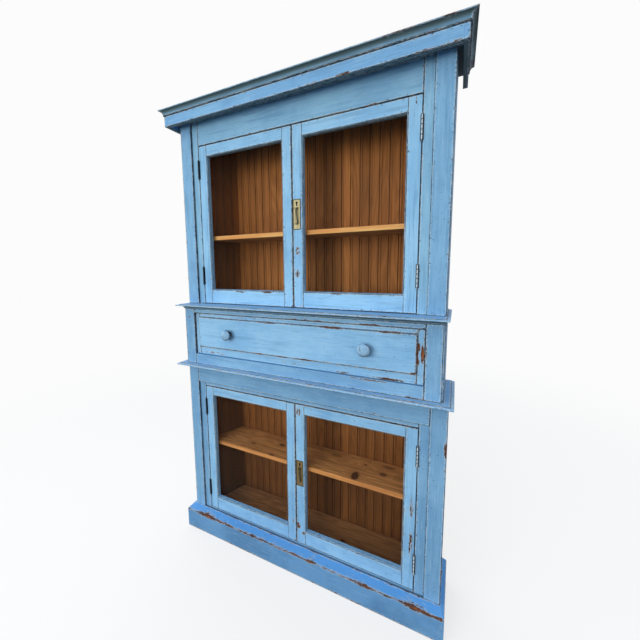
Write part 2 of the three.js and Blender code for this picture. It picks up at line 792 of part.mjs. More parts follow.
function addLock(doorGroup, section, x, front, z) {
  const plate = facePrism([
    [x - plateWidth / 2 + plateCorner, z - plateHeight / 2],
    [x + plateWidth / 2 - plateCorner, z - plateHeight / 2],
    [x + plateWidth / 2, z - plateHeight / 2 + plateCorner],
    [x + plateWidth / 2, z + plateHeight / 2 - plateCorner],
    [x + plateWidth / 2 - plateCorner, z + plateHeight / 2],
    [x - plateWidth / 2 + plateCorner, z + plateHeight / 2],
    [x - plateWidth / 2, z + plateHeight / 2 - plateCorner],
    [x - plateWidth / 2, z - plateHeight / 2 + plateCorner],
  ], [front - plateThickness, front], [keyholeOutline(x, z + keyholeRise)]);

  const axisY = front - plateThickness - pullStandOff;
  const axisZ = z + pullRise;
  const lugInner = pullEyeWidth / 2 + pullLugGap;
  const lugOuter = lugInner + pullLugWidth;
  const lugLevels = [axisZ - pullEyeRadius, axisZ + pullEyeRadius];
  const lugDepth = [axisY - pullEyeRadius, front - plateThickness];
  const pin = sideways(cylinder(pullPinRadius, [-lugOuter, lugOuter], pullSides)).translate([x, axisY, axisZ]);
  addPiece(doorGroup, `${section}_lock_plate`, union(
    plate,
    board([x - lugOuter, x - lugInner], lugDepth, lugLevels),
    board([x + lugInner, x + lugOuter], lugDepth, lugLevels),
    pin,
  ), materials.brass);

  const eyeHalf = pullEyeWidth / 2;
  const eye = sideways(cylinder(pullEyeRadius, [-eyeHalf, eyeHalf], pullSides));
  const bore = sideways(cylinder(pullPinRadius + jointGap, [-pullEyeWidth, pullEyeWidth], pullSides));
  const drop = solid(new THREE.LatheGeometry(dropProfile(), pullSides).rotateX(Math.PI / 2))
    .scale([pullSpread, 1, 1]);
  const pull = new THREE.Group();
  pull.position.set(x, axisY, axisZ);
  doorGroup.add(pull);
  addPiece(pull, `${section}_drop_pull`, eye.add(drop).subtract(bore), materials.brass);
}

function addDoor(parent, section, name, side, spec) {
  const hingeX = side * (spec.openingHalf - doorGap / 2);
  const hingeY = spec.front - knuckleStandOff;
  const group = new THREE.Group();
  group.position.set(hingeX, hingeY, spec.bottom);
  parent.add(group);

  // Across the door, distance runs from the hinge axis to the meeting edge
  const near = doorGap / 2;
  const far = spec.openingHalf - doorGap;
  const x = (distance) => -side * distance;
  const front = knuckleStandOff;
  const back = front + doorThickness;
  const shoulder = back - rabbetDepth;
  const sash = [near + spec.stile, far - spec.stile];
  const sashLevels = [doorBottomRail, spec.height - spec.topRail];
  const hingeLevels = [spec.hingeRise, spec.height - spec.hingeDrop];

  const sashX = [x(sash[0]), x(sash[1])].sort((a, b) => a - b);
  const outer = rectangle([x(near), x(far)], [0, spec.height]);
  const rabbetX = [sashX[0] - rabbetWidth, sashX[1] + rabbetWidth];
  const rabbetLevels = [sashLevels[0] - rabbetWidth, sashLevels[1] + rabbetWidth];
  let frame = facePrism(outer, [front, back], [rectangle(sashX, sashLevels)])
    .subtract(board(rabbetX, [shoulder, back + overrun], rabbetLevels))
    .subtract(sashCutter(sashX, sashLevels, front));
  for (const level of hingeLevels) {
    frame = frame.add(hungLeaf(-side).translate([0, 0, level]));
  }
  addPiece(group, `${section}_door_${name}`, frame, materials.paint);

  addPiece(group, `${section}_glass_${name}`, board(
    [rabbetX[0] + jointGap, rabbetX[1] - jointGap],
    [shoulder, shoulder + glassThickness],
    [rabbetLevels[0] + jointGap, rabbetLevels[1] - jointGap],
  ), materials.glass);

  ["bottom", "top"].forEach((place, index) => {
    const hinge = addPiece(parent, `${section}_hinge_${name}_${place}`, fixedLeaf(side), materials.iron);
    hinge.position.set(hingeX, hingeY, spec.bottom + hingeLevels[index]);
  });

  if (side > 0) {
    const plateX = x(far - plateMeetingInset - plateWidth / 2);
    addLock(group, section, plateX, front, spec.lockRise);
  }
}

sides((name, side) => {
  addDoor(lower, "base", name, side, {
    openingHalf: baseOpeningHalf,
    front: baseFrameFront,
    bottom: baseDoorBottom,
    height: baseDoorHeight,
    stile: baseDoorStile,
    topRail: baseTopRail,
    hingeRise: baseHingeRise,
    hingeDrop: baseHingeDrop,
    lockRise: baseLockRise,
  });
  addDoor(upper, "upper", name, side, {
    openingHalf: upperOpeningHalf,
    front: upperFrameFront,
    bottom: upperDoorBottom,
    height: upperDoorHeight,
    stile: upperDoorStile,
    topRail: upperTopRail,
    hingeRise: upperHingeRise,
    hingeDrop: upperHingeDrop,
    lockRise: upperLockRise,
  });
});

export default cupboard;
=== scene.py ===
# Step back cupboard: painted pine boards, brass lock plates and glazed doors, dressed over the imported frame.
# Metres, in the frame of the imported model: Z up, and the front faces -Y.
import json
import math
import random

import bmesh
import bpy
from mathutils import Matrix, Vector

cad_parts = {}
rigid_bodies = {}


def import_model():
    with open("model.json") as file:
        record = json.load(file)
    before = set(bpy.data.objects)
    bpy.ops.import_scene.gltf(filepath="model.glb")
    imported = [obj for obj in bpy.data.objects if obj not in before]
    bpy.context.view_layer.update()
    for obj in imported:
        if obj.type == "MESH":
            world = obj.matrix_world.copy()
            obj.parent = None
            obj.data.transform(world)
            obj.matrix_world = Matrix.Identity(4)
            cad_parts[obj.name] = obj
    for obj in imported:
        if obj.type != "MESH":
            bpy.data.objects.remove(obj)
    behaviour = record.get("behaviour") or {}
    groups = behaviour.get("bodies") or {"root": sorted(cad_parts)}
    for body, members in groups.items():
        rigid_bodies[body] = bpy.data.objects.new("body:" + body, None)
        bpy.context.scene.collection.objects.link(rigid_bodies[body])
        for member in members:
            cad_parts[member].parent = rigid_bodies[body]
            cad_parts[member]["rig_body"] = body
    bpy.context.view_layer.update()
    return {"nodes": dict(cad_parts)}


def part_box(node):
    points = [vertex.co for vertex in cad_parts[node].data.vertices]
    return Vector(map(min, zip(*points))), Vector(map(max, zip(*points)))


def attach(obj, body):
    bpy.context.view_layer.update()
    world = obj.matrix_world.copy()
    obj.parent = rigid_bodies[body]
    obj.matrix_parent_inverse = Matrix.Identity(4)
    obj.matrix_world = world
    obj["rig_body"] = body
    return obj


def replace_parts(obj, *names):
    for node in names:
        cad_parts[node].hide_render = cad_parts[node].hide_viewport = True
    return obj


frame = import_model()

# Camera: a phone held at eye level close in front of the right half.
# Its wide lens looks left and a little down.
lens_data = bpy.data.cameras.new("camera")
lens_data.sensor_width = 36
lens_data.lens = 17.449
lens_data.shift_x = 0.02294
lens_data.shift_y = -0.02398
camera = bpy.data.objects.new("camera", lens_data)
bpy.context.scene.collection.objects.link(camera)
heading = math.radians(25.9607)
tilt = math.radians(6.7781)
roll = math.radians(-0.5901)
turn = Matrix.Rotation(heading, 4, "Z") @ Matrix.Rotation(math.pi / 2 - tilt, 4, "X")
camera.matrix_world = (
    Matrix.Translation((0.63298, -1.25061, 1.40999)) @ turn @ Matrix.Rotation(roll, 4, "Z")
)
bpy.context.scene.camera = camera
bpy.context.scene.view_settings.view_transform = "Standard"


# Room: a pale floor that runs out into a plain pale surround, as in a cut-out picture.
# The light is a soft sky above, a dim ground below, and two wide soft boxes in front.


class Shade:
    """A value in a material's nodes. Operators add Math nodes, and node() adds any other node."""

    def __init__(self, tree, out=None):
        self.tree = tree
        self.out = out

    def node(self, kind, settings=None, sockets=None, out=0):
        made = self.tree.nodes.new("ShaderNode" + kind)
        for name, value in (settings or {}).items():
            setattr(made, name, value)
        for name, value in (sockets or {}).items():
            if isinstance(value, Shade):
                self.tree.links.new(value.out, made.inputs[name])
            else:
                made.inputs[name].default_value = value
        return Shade(self.tree, made.outputs[out]) if made.outputs else None

    def maths(self, operation, *values):
        return self.node("Math", {"operation": operation}, dict(enumerate(values)))

    def __add__(self, other):
        return self.maths("ADD", self, other)

    __radd__ = __add__

    def __sub__(self, other):
        return self.maths("SUBTRACT", self, other)

    def __rsub__(self, other):
        return self.maths("SUBTRACT", other, self)

    def __mul__(self, other):
        return self.maths("MULTIPLY", self, other)

    __rmul__ = __mul__

    def __truediv__(self, other):
        return self.maths("DIVIDE", self, other)

    def larger(self, other):
        return self.maths("MAXIMUM", self, other)

    def rise(self, low, high):
        """0 below low, 1 above high, and a soft step between."""
        return self.node(
            "MapRange",
            {"interpolation_type": "SMOOTHSTEP"},
            {"Value": self, "From Min": low, "From Max": high},
        )

    def tint(self, before, after):
        """From one colour to another as this value goes from 0 to 1."""
        return self.node("Mix", {"data_type": "RGBA"}, {0: self, 6: before, 7: after}, out=2)

    def stretch(self, x, y, z):
        return self.node("VectorMath", {"operation": "MULTIPLY"}, {0: self, 1: (x, y, z)})

    def noise(self, scale, detail=2, roughness=0.5):
        sockets = {"Vector": self, "Scale": scale, "Detail": detail, "Roughness": roughness}
        return self.node("TexNoise", {}, sockets)

    def near(self, point, radius):
        """1 at a point, and 0 from a radius away."""
        gap = self.node("VectorMath", {"operation": "DISTANCE"}, {0: self, 1: point}, out=1)
        return 1 - gap / radius

    def part(self, axis):
        """One part, x, y or z, of this vector."""
        return self.node("SeparateXYZ", {}, {0: self}, out="xyz".index(axis))

    def on_mesh(self, name):
        """A value that add_piece stores at each point of a mesh."""
        return self.node("Attribute", {"attribute_name": name}, out=2)

    def grain(self):
        """A place along and across the grain of each board."""
        return self.node("Attribute", {"attribute_name": "grain"}, out=1)

    def place(self):
        """A place in the piece's own frame, which goes with it when it moves."""
        return self.node("TexCoord", out=3)

    def rings(self, count):
        """0 to 1 and back, over and over, as this value rises: the rings of growth in a board."""
        turns = self * count
        return turns.maths("PINGPONG", turns, 0.5) * 2

    def bump(self, strength, distance):
        """The surface normal with this value as a height on it."""
        return self.node("Bump", {}, {"Strength": strength, "Distance": distance, "Height": self})

    def surface(self, finish):
        self.node("OutputMaterial", {}, {"Surface": self.node("BsdfPrincipled", {}, finish)})


def rgb(red, green, blue):
    """A colour as it reads on a screen, 0 to 255, in the linear values that nodes use."""
    tones = []
    for tone in (red, green, blue):
        share = tone / 255
        tones.append(share / 12.92 if share <= 0.04045 else ((share + 0.055) / 1.055) ** 2.4)
    return (*tones, 1)


def new_material(name):
    made = bpy.data.materials.new(name)
    made.use_nodes = True
    made.node_tree.nodes.clear()
    return made, Shade(made.node_tree)


surround = rgb(252, 252, 252)
dim_ground = (0.03, 0.035, 0.04, 1)

world = bpy.data.worlds.new("soft_sky")
bpy.context.scene.world = world
world.use_nodes = True
world.node_tree.nodes.clear()
sky = Shade(world.node_tree)
looking = sky.node("TexCoord")
rightward = looking.part("x")
up = looking.part("z")
sky_tone = rightward.rise(-0.8, 0.9).tint((1.34, 1.36, 1.39, 1), (0.42, 0.45, 0.5, 1))
sky_tone = (up.rise(0.2, 1.0) * 0.3).tint(sky_tone, (0.7, 0.72, 0.76, 1))
lit_tone = up.rise(-0.12, 0.3).tint(dim_ground, sky_tone)


def clear_rays(start):
    """1 for the rays that show the background: from the camera, a mirror or through glass."""
    outputs = start.node("LightPath").out.node.outputs
    camera_ray, glossy, through = [
        Shade(start.tree, outputs[name])
        for name in ("Is Camera Ray", "Is Glossy Ray", "Is Transmission Ray")
    ]
    return camera_ray.larger(glossy).larger(through)


background_tone = clear_rays(sky).tint(lit_tone, surround)
backdrop = sky.node("Background", {}, {"Color": background_tone, "Strength": 1.0})
sky.node("OutputWorld", {}, {"Surface": backdrop})

floor_paint, start = new_material("floor_paint")
near_cupboard = start.place().near((0, 0, 0), 1).rise(-3.4, -0.9)
looked_at = clear_rays(start)
matt = start.node(
    "BsdfDiffuse", {}, {"Color": looked_at.tint((0.1, 0.105, 0.11, 1), (0.93, 0.93, 0.93, 1))}
)
glow = start.node("Emission", {}, {"Color": surround, "Strength": 1.0})
far_part = start.node("MixShader", {}, {0: (1 - near_cupboard * 0.3) * looked_at, 1: matt, 2: glow})
start.node("OutputMaterial", {}, {"Surface": far_part})

floor_mesh = bpy.data.meshes.new("floor")
reach = 30.0
floor_mesh.from_pydata(
    [(-reach, -reach, 0), (reach, -reach, 0), (reach, reach, 0), (-reach, reach, 0)], [], [(0, 1, 2, 3)]
)
floor_mesh.materials.append(floor_paint)
floor = bpy.data.objects.new("floor", floor_mesh)
bpy.context.scene.collection.objects.link(floor)


def soft_box(name, place, aim, width, height, power, tone):
    light = bpy.data.lights.new(name, "AREA")
    light.shape = "RECTANGLE"
    light.size = width
    light.size_y = height
    light.energy = power
    light.color = tone
    made = bpy.data.objects.new(name, light)
    made.location = place
    made.rotation_mode = "QUATERNION"
    made.rotation_quaternion = (Vector(aim) - Vector(place)).to_track_quat("-Z", "Y")
    made.visible_glossy = False
    bpy.context.scene.collection.objects.link(made)


soft_box("front_box", (-1.2, -4.3, 1.8), (0, 0, 1.1), 2.6, 2.0, 92, (1.0, 0.98, 0.95))
soft_box("right_box", (2.8, -3.6, 2.2), (0, 0, 1.1), 2.4, 2.4, 7, (0.97, 0.98, 1.0))


# Plinth: a face board under a sloping top, with a return along each side, mitred at the corners.
# Pine under chalky blue paint that is worn through to the wood along its top front edge.

along_x, along_y, along_z = range(3)
rub_reach = 0.012


def box_form(low, high, along, edge=0.0012, dark="", quiet="", dark_lined=""):
    """A board with eased edges. arris tells how close each point is to an edge of the board.

    Sides are named x, y, z where low and X, Y, Z where high. A dark side lies in a gap or a joint and
    counts as edge all over, so the dark seam colour covers it as painted shade. The edges of a quiet side
    aren't counted, and along a side in the last list a wider dark line, painted shade with dirt, runs
    round the board's face."""
    ease = min(edge, min(b - a for a, b in zip(low, high)) * 0.25)
    cuts = []
    for a, b in zip(low, high):
        wide = (b - a) / 2 > rub_reach * 1.3
        middle = [(a + b) / 2]
        if wide:
            middle = [a + rub_reach / 4, a + rub_reach, b - rub_reach, b - rub_reach / 4]
        cuts.append([a, a + ease, *middle, b - ease, b])
    last = [len(cut) - 1 for cut in cuts]
    index, points, arris = {}, [], []
    for i, x in enumerate(cuts[0]):
        for j, y in enumerate(cuts[1]):
            for k, z in enumerate(cuts[2]):
                if not (i in (0, last[0]) or j in (0, last[1]) or k in (0, last[2])):
                    continue
                index[i, j, k] = len(points)
                here = Vector((x, y, z))
                core = Vector([min(max(c, a + ease), b - ease) for c, a, b in zip(here, low, high)])
                points.append(core + (here - core).normalized() * ease)
                gaps = []
                shaded = near_dark_line = False
                for axis, step in enumerate((i, j, k)):
                    to_low = here[axis] - low[axis] if "xyz"[axis] not in quiet else 1.0
                    to_high = high[axis] - here[axis] if "XYZ"[axis] not in quiet else 1.0
                    gaps.append(min(to_low, to_high))
                    on_side = step == 0 and "xyz"[axis] in dark or step == last[axis] and "XYZ"[axis] in dark
                    shaded = shaded or (on_side and 0 < j < last[1])
                    dark_line_gaps = [to_low] * ("xyz"[axis] in dark_lined) + [to_high] * ("XYZ"[axis] in dark_lined)
                    near_dark_line = near_dark_line or min(dark_line_gaps, default=1) < rub_reach / 3
                share = 0.97 if shaded or near_dark_line else max(0.0, 1 - sorted(gaps)[1] / rub_reach)
                arris.append(share)
    faces = []
    for axis in range(3):
        s, t = [other for other in range(3) if other != axis]
        for end in (0, last[axis]):
            for i in range(last[s]):
                for j in range(last[t]):
                    corners = []
                    for p, q in ((i, j), (i + 1, j), (i + 1, j + 1), (i, j + 1)):
                        key = [0, 0, 0]
                        key[axis], key[s], key[t] = end, p, q
                        corners.append(index[tuple(key)])
                    faces.append(corners)
    return points, faces, arris, along


def even_box(low, high, along, share, edge=0.0001):
    """A board whose closeness to an edge is the same all over."""
    points, faces, *_ = box_form(low, high, along, edge)
    return points, faces, [share] * len(points), along


def eased(outline, edge=0.0012):
    """An outline with its marked corners eased: (u, v) is a sharp corner, (u, v, 0) lies on a curve."""
    made = []
    for i, (u, v, *curved) in enumerate(outline):
        if curved:
            made.append((u, v, 0.0))
            continue
        here = Vector((u, v))
        before = Vector(outline[i - 1][:2]) - here
        after = Vector(outline[(i + 1) % len(outline)][:2]) - here
        ease = min(edge, before.length * 0.3, after.length * 0.3)
        back = min(rub_reach, before.length * 0.45)
        on = min(rub_reach, after.length * 0.45)
        a, b = before.normalized(), after.normalized()
        for place, share in (
            (here + a * back, 1 - back / rub_reach),
            (here + a * ease, 0.92),
            (here + (a + b) * ease * 0.29, 1.0),
            (here + b * ease, 0.92),
            (here + b * on, 1 - on / rub_reach),
        ):
            made.append((place.x, place.y, max(0.0, share)))
    return made


def sweep_form(section, stations, along, ring=False, worn_ends=False):
    """A section carried through stations, each a rule that turns (u, v) into a point."""
    points = [Vector(station(u, v)) for station in stations for u, v, _ in section]
    arris = [share for _ in stations for _, _, share in section]
    count, rows = len(section), len(stations)
    if worn_ends:
        for i in list(range(count)) + list(range((rows - 1) * count, rows * count)):
            arris[i] = 1.0
    faces = []
    for row in range(rows if ring else rows - 1):
        start, onward = row * count, (row + 1) % rows * count
        for i in range(count):
            j = (i + 1) % count
            faces.append([start + i, start + j, onward + j, onward + i])
    if not ring:
        faces.append(list(range(count)))
        faces.append(list(range((rows - 1) * count, rows * count)))
    return points, faces, arris, along


def add_piece(name, forms, material, body="case", worn=0.5):
    """One object from its forms, with the grain of each board and its closeness to an edge."""
    points, faces, arris, grain = [], [], [], []
    seed = random.Random(name)
    for form_points, form_faces, form_arris, along in forms:
        start = len(points)
        points += form_points
        faces += [[start + i for i in face] for face in form_faces]
        arris += form_arris
        order = [along] + [axis for axis in range(3) if axis != along]
        offset = [seed.uniform(0, 9) for _ in range(3)]
        for point in form_points:
            grain += [point[axis] + move for axis, move in zip(order, offset)]
    mesh = bpy.data.meshes.new(name)
    mesh.from_pydata(points, [], faces)
    mesh.attributes.new("grain", "FLOAT_VECTOR", "POINT").data.foreach_set("vector", grain)
    mesh.attributes.new("arris", "FLOAT", "POINT").data.foreach_set("value", arris)
    mesh.attributes.new("worn", "FLOAT", "POINT").data.foreach_set("value", [worn] * len(points))
    turned_out = bmesh.new()
    turned_out.from_mesh(mesh)
    bmesh.ops.recalc_face_normals(turned_out, faces=turned_out.faces)
    turned_out.to_mesh(mesh)
    turned_out.free()
    mesh.shade_smooth()
    mesh.set_sharp_from_angle(angle=math.radians(20))
    mesh.materials.append(material)
    piece = bpy.data.objects.new(name, mesh)
    bpy.context.scene.collection.objects.link(piece)
    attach(piece, body)
    return piece


def blue_paint(name, fresh, faded, spots=(), wear=0.0, grime_and_gap_shade=0.95, top=(104, 160, 214)):
    """Chalky blue paint brushed along the grain, rubbed pale and chipped to bare wood at the edges.

    Each spot is a worn place: (x, y, z, half its width, half its height, strength). wear adds chips
    all over. The argument after wear sets the dark line along seams and edges: dirt in the joints, and
    painted shade on the sides that lie in gaps. top is the colour the paint turns to where it faces up,
    a painted sky reflection, and where it faces down the paint turns grey with painted shade."""
    made, start = new_material(name)
    grain, place = start.grain(), start.place()
    arris, worn = start.on_mesh("arris"), start.on_mesh("worn")
    facing = start.node("NewGeometry", out=1).part("z")

    clouds = place.noise(4.5, 4, 0.6)
    streaks = grain.stretch(9, 260, 260).noise(1.0, 4, 0.65)
    broad = grain.stretch(3.5, 46, 46).noise(1.0, 3)
    patches = grain.stretch(34, 130, 130).noise(1.0, 4, 0.68)
    flakes = grain.stretch(120, 380, 380).noise(1.0, 3, 0.6)
    crumbs = place.noise(520, 2)

    blue = clouds.rise(0.36, 0.64).tint(rgb(*fresh), rgb(*faded))
    blue = (broad.rise(0.5, 0.72) * 0.45).tint(blue, rgb(98, 150, 192))
    blue = (streaks.rise(0.52, 0.72) * 0.38).tint(blue, rgb(78, 122, 160))
    blue = ((1 - streaks).rise(0.54, 0.74) * 0.5).tint(blue, rgb(180, 216, 238))
    # Painted sky reflection: where the paint faces up it turns to the top colour.
    blue = (facing.rise(0.3, 0.8) * 0.7).tint(blue, rgb(*top))
    # Painted shade: where the paint faces down it turns dark grey.
    blue = ((facing * -1).rise(0.1, 0.8) * 0.92).tint(blue, rgb(78, 96, 94))
    rub = arris.rise(0.42, 0.7) * (flakes * 0.5 + patches * 0.5).rise(0.4, 0.56)
    blue = (rub * 0.62).tint(blue, rgb(190, 220, 240))

    score = arris * 0.95 + (patches - 0.5) * 2.8 + (flakes - 0.5) * 2.3 + (crumbs - 0.5) * 1.2
    score = score + worn * 0.3 - (1.5 - wear)
    for x, y, z, wide, tall, strength in spots:
        scaled = place.stretch(1 / wide, 25, 1 / tall)
        score = score + scaled.near((x / wide, y * 25, z / tall), 1).rise(0, 0.8) * strength
    primer = score.rise(-0.36, -0.18)
    chip = score.rise(-0.05, 0.02)
    patchy = grain.stretch(9, 30, 30).noise(1.0, 3).rise(0.32, 0.46) * 0.5 + 0.5
    # A dark line along seams and edges and over sides in gaps: dirt in joints, painted shade in gaps.
    seam_grime_and_shade = arris.rise(0.75, 0.88) * patchy * grime_and_gap_shade
    fibres = grain.stretch(16, 520, 520).noise(1.0, 3)
    brown = fibres.rise(0.4, 0.62).tint(rgb(58, 42, 38), rgb(118, 80, 62))
    orange = fibres.rise(0.4, 0.62).tint(rgb(130, 74, 44), rgb(200, 124, 76))
    wood = score.rise(0.7, 1.35).tint(brown, orange)
    specks = place.noise(130, 2, 0.6).rise(0.63, 0.66) * arris.rise(0.12, 0.5) * grime_and_gap_shade
    flecks = place.noise(190, 2, 0.6).rise(0.66, 0.69) * arris.rise(0.2, 0.55)
    nicks = (patches.rise(0.56, 0.66) * flakes).rise(0.5, 0.56)

    tone = (nicks * 0.34).tint(blue, rgb(70, 96, 120))
    tone = (flecks * 0.7).tint(tone, rgb(206, 226, 238))
    tone = (specks * 0.8).tint(tone, rgb(72, 58, 54))
    tone = (seam_grime_and_shade * 0.95).tint(tone, patches.rise(0.56, 0.68).tint(rgb(20, 32, 44), rgb(48, 42, 42)))
    tone = (primer * 0.75).tint(tone, rgb(198, 210, 216))
    tone = chip.tint(tone, wood)
    pits = place.noise(170, 1).rise(0.73, 0.76)
    tone = (pits * 0.75).tint(tone, rgb(48, 60, 74))

    height = streaks * 0.3 + broad * 0.4 - chip * 1.2 - pits * 0.8 - seam_grime_and_shade * 0.8 - nicks * 0.4
    finish = {
        "Base Color": tone,
        "Roughness": 0.56 + chip * 0.22 + streaks * 0.1,
        "Specular IOR Level": 0.22,
        "Normal": height.bump(0.6, 0.0007),
    }
    start.surface(finish)
    return made


def quarter(start_point, end_point, steps, hollow=True):
    """Points of a quarter round between two corners of a section."""
    (u0, v0), (u1, v1) = start_point, end_point
    made = []
    for i in range(steps + 1):
        angle = math.pi / 2 * i / steps
        if hollow:
            made.append((u1 - (u1 - u0) * math.cos(angle), v0 + (v1 - v0) * math.sin(angle), 0))
        else:
            made.append((u0 + (u1 - u0) * math.sin(angle), v1 - (v1 - v0) * math.cos(angle), 0))
    return made


def wrapped(half, front, back, side_share):
    """Stations of a left return, a front and a right return that meet in mitres."""

    def corner(side, inset_x=0.0, inset_y=0.0):
        return lambda u, v: (side * (half + u * side_share - inset_x), front - u + inset_y, v)

    def end(side):
        return lambda u, v: (side * (half + u * side_share), back, v)

    left = [end(-1), corner(-1, 0, rub_reach), corner(-1)]
    middle = [corner(-1), corner(-1, rub_reach), corner(1, rub_reach), corner(1)]
    right = [corner(1), corner(1, 0, rub_reach), end(1)]
    return (("left", left, along_y), ("front", middle, along_x), ("right", right, along_y))


def add_moulding(name, section, course, paint, worn, worn_ends=False):
    """A moulding along the left side, the front and the right side. Gives back its three lengths."""
    lengths = []
    for side_name, stations, along in course:
        form = sweep_form(section, stations, along, worn_ends=worn_ends)
        lengths.append(add_piece(name.format(side_name), [form], paint, worn=worn))
    return lengths


case_face = -0.0785
side_rear = 0.1415
plinth_spots = (
    (-0.46, -0.1275, 0.104, 0.16, 0.03, 0.5),
    (-0.52, -0.12, 0.104, 0.08, 0.03, 0.5),
    (-0.1, -0.1275, 0.101, 0.3, 0.02, 0.3),
    (0.096, -0.12, 0.103, 0.03, 0.03, 0.6),
    (0.33, -0.1275, 0.101, 0.09, 0.02, 0.5),
    (0.56, -0.1275, 0.101, 0.09, 0.024, 0.62),
    (0.52, -0.11, 0.104, 0.06, 0.03, 0.35),
    (0.638, -0.1275, 0.08, 0.012, 0.05, 0.35),
)
# A darker copy of the blue paint: painted shade on the plinth's face. Its top colour is a painted sky
# reflection.
plinth_paint = blue_paint(
    "plinth_paint", (88, 139, 187), (106, 160, 210), plinth_spots, wear=0.3, grime_and_gap_shade=0.4, top=(90, 164, 236)
)
base_half = 0.628
plinth_out = 0.049
plinth_section = eased([(0, 0), (plinth_out, 0), (plinth_out, 0.101), (0, 0.108)], 0.002)
plinth_course = wrapped(base_half, case_face, side_rear, 0.018 / plinth_out)
plinth_lengths = add_moulding("plinth_{}", plinth_section, plinth_course, plinth_paint, worn=0.8)
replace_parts(plinth_lengths[-1], "plinth")


# Base case: side boards, a face frame of stiles and rails, and pilasters with a frieze nailed over it.
# Painted pine boards. The frame is mortised, so its joints show as fine lines.


def boards(name, spans, material, body="case", worn=0.5, edge=0.0012, dark=""):
    """Boards of one assembly. Each span is (x0, x1, y0, y1, z0, z1, grain axis).

    The names of its dark sides, which carry painted shade, its quiet sides and its dark-lined sides
    may follow, as box_form takes them."""
    forms = []
    for x0, x1, y0, y1, z0, z1, along, *marks in spans:
        low = (min(x0, x1), min(y0, y1), min(z0, z1))
        high = (max(x0, x1), max(y0, y1), max(z0, z1))
        forms.append(box_form(low, high, along, edge, *(marks or [dark])))
    return add_piece(name, forms, material, body, worn)


def both_sides(near, far, y0, y1, z0, z1, along, *marks):
    """The spans of two like boards, left and right. The marks are those of the right one."""
    mirrored = [mark.translate(str.maketrans("xX", "Xx")) for mark in marks]
    return [(-far, -near, y0, y1, z0, z1, along, *mirrored), (near, far, y0, y1, z0, z1, along, *marks)]


def node_board(node, material, along, worn=0.5, dark=""):
    """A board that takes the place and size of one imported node."""
    low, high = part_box(node)
    body = frame["nodes"][node]["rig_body"]
    form = box_form(low, high, along, dark=dark)
    piece = add_piece(node + "_board", [form], material, body, worn)
    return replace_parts(piece, node)


base_spots = (
    (0.624, case_face, 0.74, 0.016, 0.06, 1.25),
    (0.62, case_face, 0.66, 0.01, 0.03, 0.6),
    (0.627, case_face, 0.23, 0.01, 0.06, 0.6),
    (0.355, case_face, 0.832, 0.03, 0.006, 1.1),
)
base_paint = blue_paint("base_paint", (116, 166, 208), (132, 182, 220), base_spots)
for side in ("left", "right"):
    node_board(f"base_side_{side}", base_paint, along_z, worn=0.3)
    # Each pilaster's inner side, beside the frame, is dark: painted shade.
    node_board(f"base_pilaster_{side}", base_paint, along_z, worn=0.35, dark="X" if side == "left" else "x")
node_board("base_frieze", base_paint, along_x, worn=0.4)
base_face, base_inside = -0.0685, -0.0435
base_frame_y = (base_face, base_inside)
base_opening = 0.529
base_opening_z = (0.108, 0.8035)
base_top = 0.922
# The stiles' sides and the top rail's underside along the doors are dark: painted shade in the gaps.
base_frame = [
    *both_sides(base_opening, base_half, *base_frame_y, 0, base_top, along_z, "x"),
    (-base_opening, base_opening, *base_frame_y, base_opening_z[1], base_top, along_x, "z"),
    (-base_opening, base_opening, *base_frame_y, 0, base_opening_z[0], along_x, "", "Z"),
]
piece = boards("base_face_frame_boards", base_frame, base_paint, worn=0.45)
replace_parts(piece, "base_face_frame")


# Ledge: one wide board over the base, its edge stepped down to a rounded lip on three sides.
# A cove moulding beneath it meets the case. Pine, painted.


def lip(bottom, top, inset):
    """The rim of a ledge board in section: projection from the lip, and height."""
    step = top - 0.0025
    radius = (step - bottom) / 2
    middle = bottom + radius
    nose = []
    for i in range(9):
        angle = -math.pi / 2 + math.pi * i / 8
        nose.append((-radius + radius * math.cos(angle), middle + radius * math.sin(angle), 0))
    flat = [(-0.012, step), (-0.012, top)]
    made = eased([(inset, bottom), *nose, *flat, (inset, top)], 0.0008)
    return [(u, v, 0.66 if -0.004 < u and share == 0 else share) for u, v, share in made]


ledge_top = 0.932
ledge_edge = -0.1445
back_rear = 0.1545
ledge_spots = (
    (-0.05, ledge_edge, 0.925, 0.06, 0.02, 0.20),
    (0.1, ledge_edge, 0.925, 0.05, 0.02, 0.16),
    (0.47, ledge_edge, 0.925, 0.1, 0.02, 0.18),
    (-0.35, ledge_edge, 0.925, 0.08, 0.02, 0.16),
)
# The colour the ledge and waist paint turn to where it faces up: a painted sky reflection.
ledge_sky_lit_top = (126, 178, 226)
ledge_paint = blue_paint(
    "ledge_paint", (120, 170, 212), (138, 188, 226), ledge_spots, wear=0.05, grime_and_gap_shade=0.6, top=ledge_sky_lit_top
)
ledge_forms = [even_box((-0.6094, -0.109, base_top), (0.6094, side_rear - 0.0002, ledge_top), along_x, 0.0)]
for _, stations, _ in wrapped(0.645, ledge_edge, back_rear, 1.0):
    ledge_forms.append(sweep_form(lip(base_top, ledge_top, -0.0355), stations, along_x))
piece = add_piece("ledge_boards", ledge_forms, ledge_paint, worn=0.55)
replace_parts(piece, "ledge_board")


def cove_section(out, bottom, top, inset=0.0):
    """A hollow moulding with a fillet below: a dark line runs along its foot, and a line of
    painted shade along its top, under the board above.
    """
    curve = quarter((0.0025, bottom + 0.0015), (out, top - 0.0015), 12)
    made = [(inset, bottom, 0.5), (0.0015, bottom, 0.97), (0.0025, bottom + 0.0008, 0.97)]
    made += [(u, v, 0.2 if i < 9 else 0.2 + 0.25 * (i - 8)) for i, (u, v, _) in enumerate(curve)]
    return [*made, (out, top, 1.0), (inset, top, 0.5)]


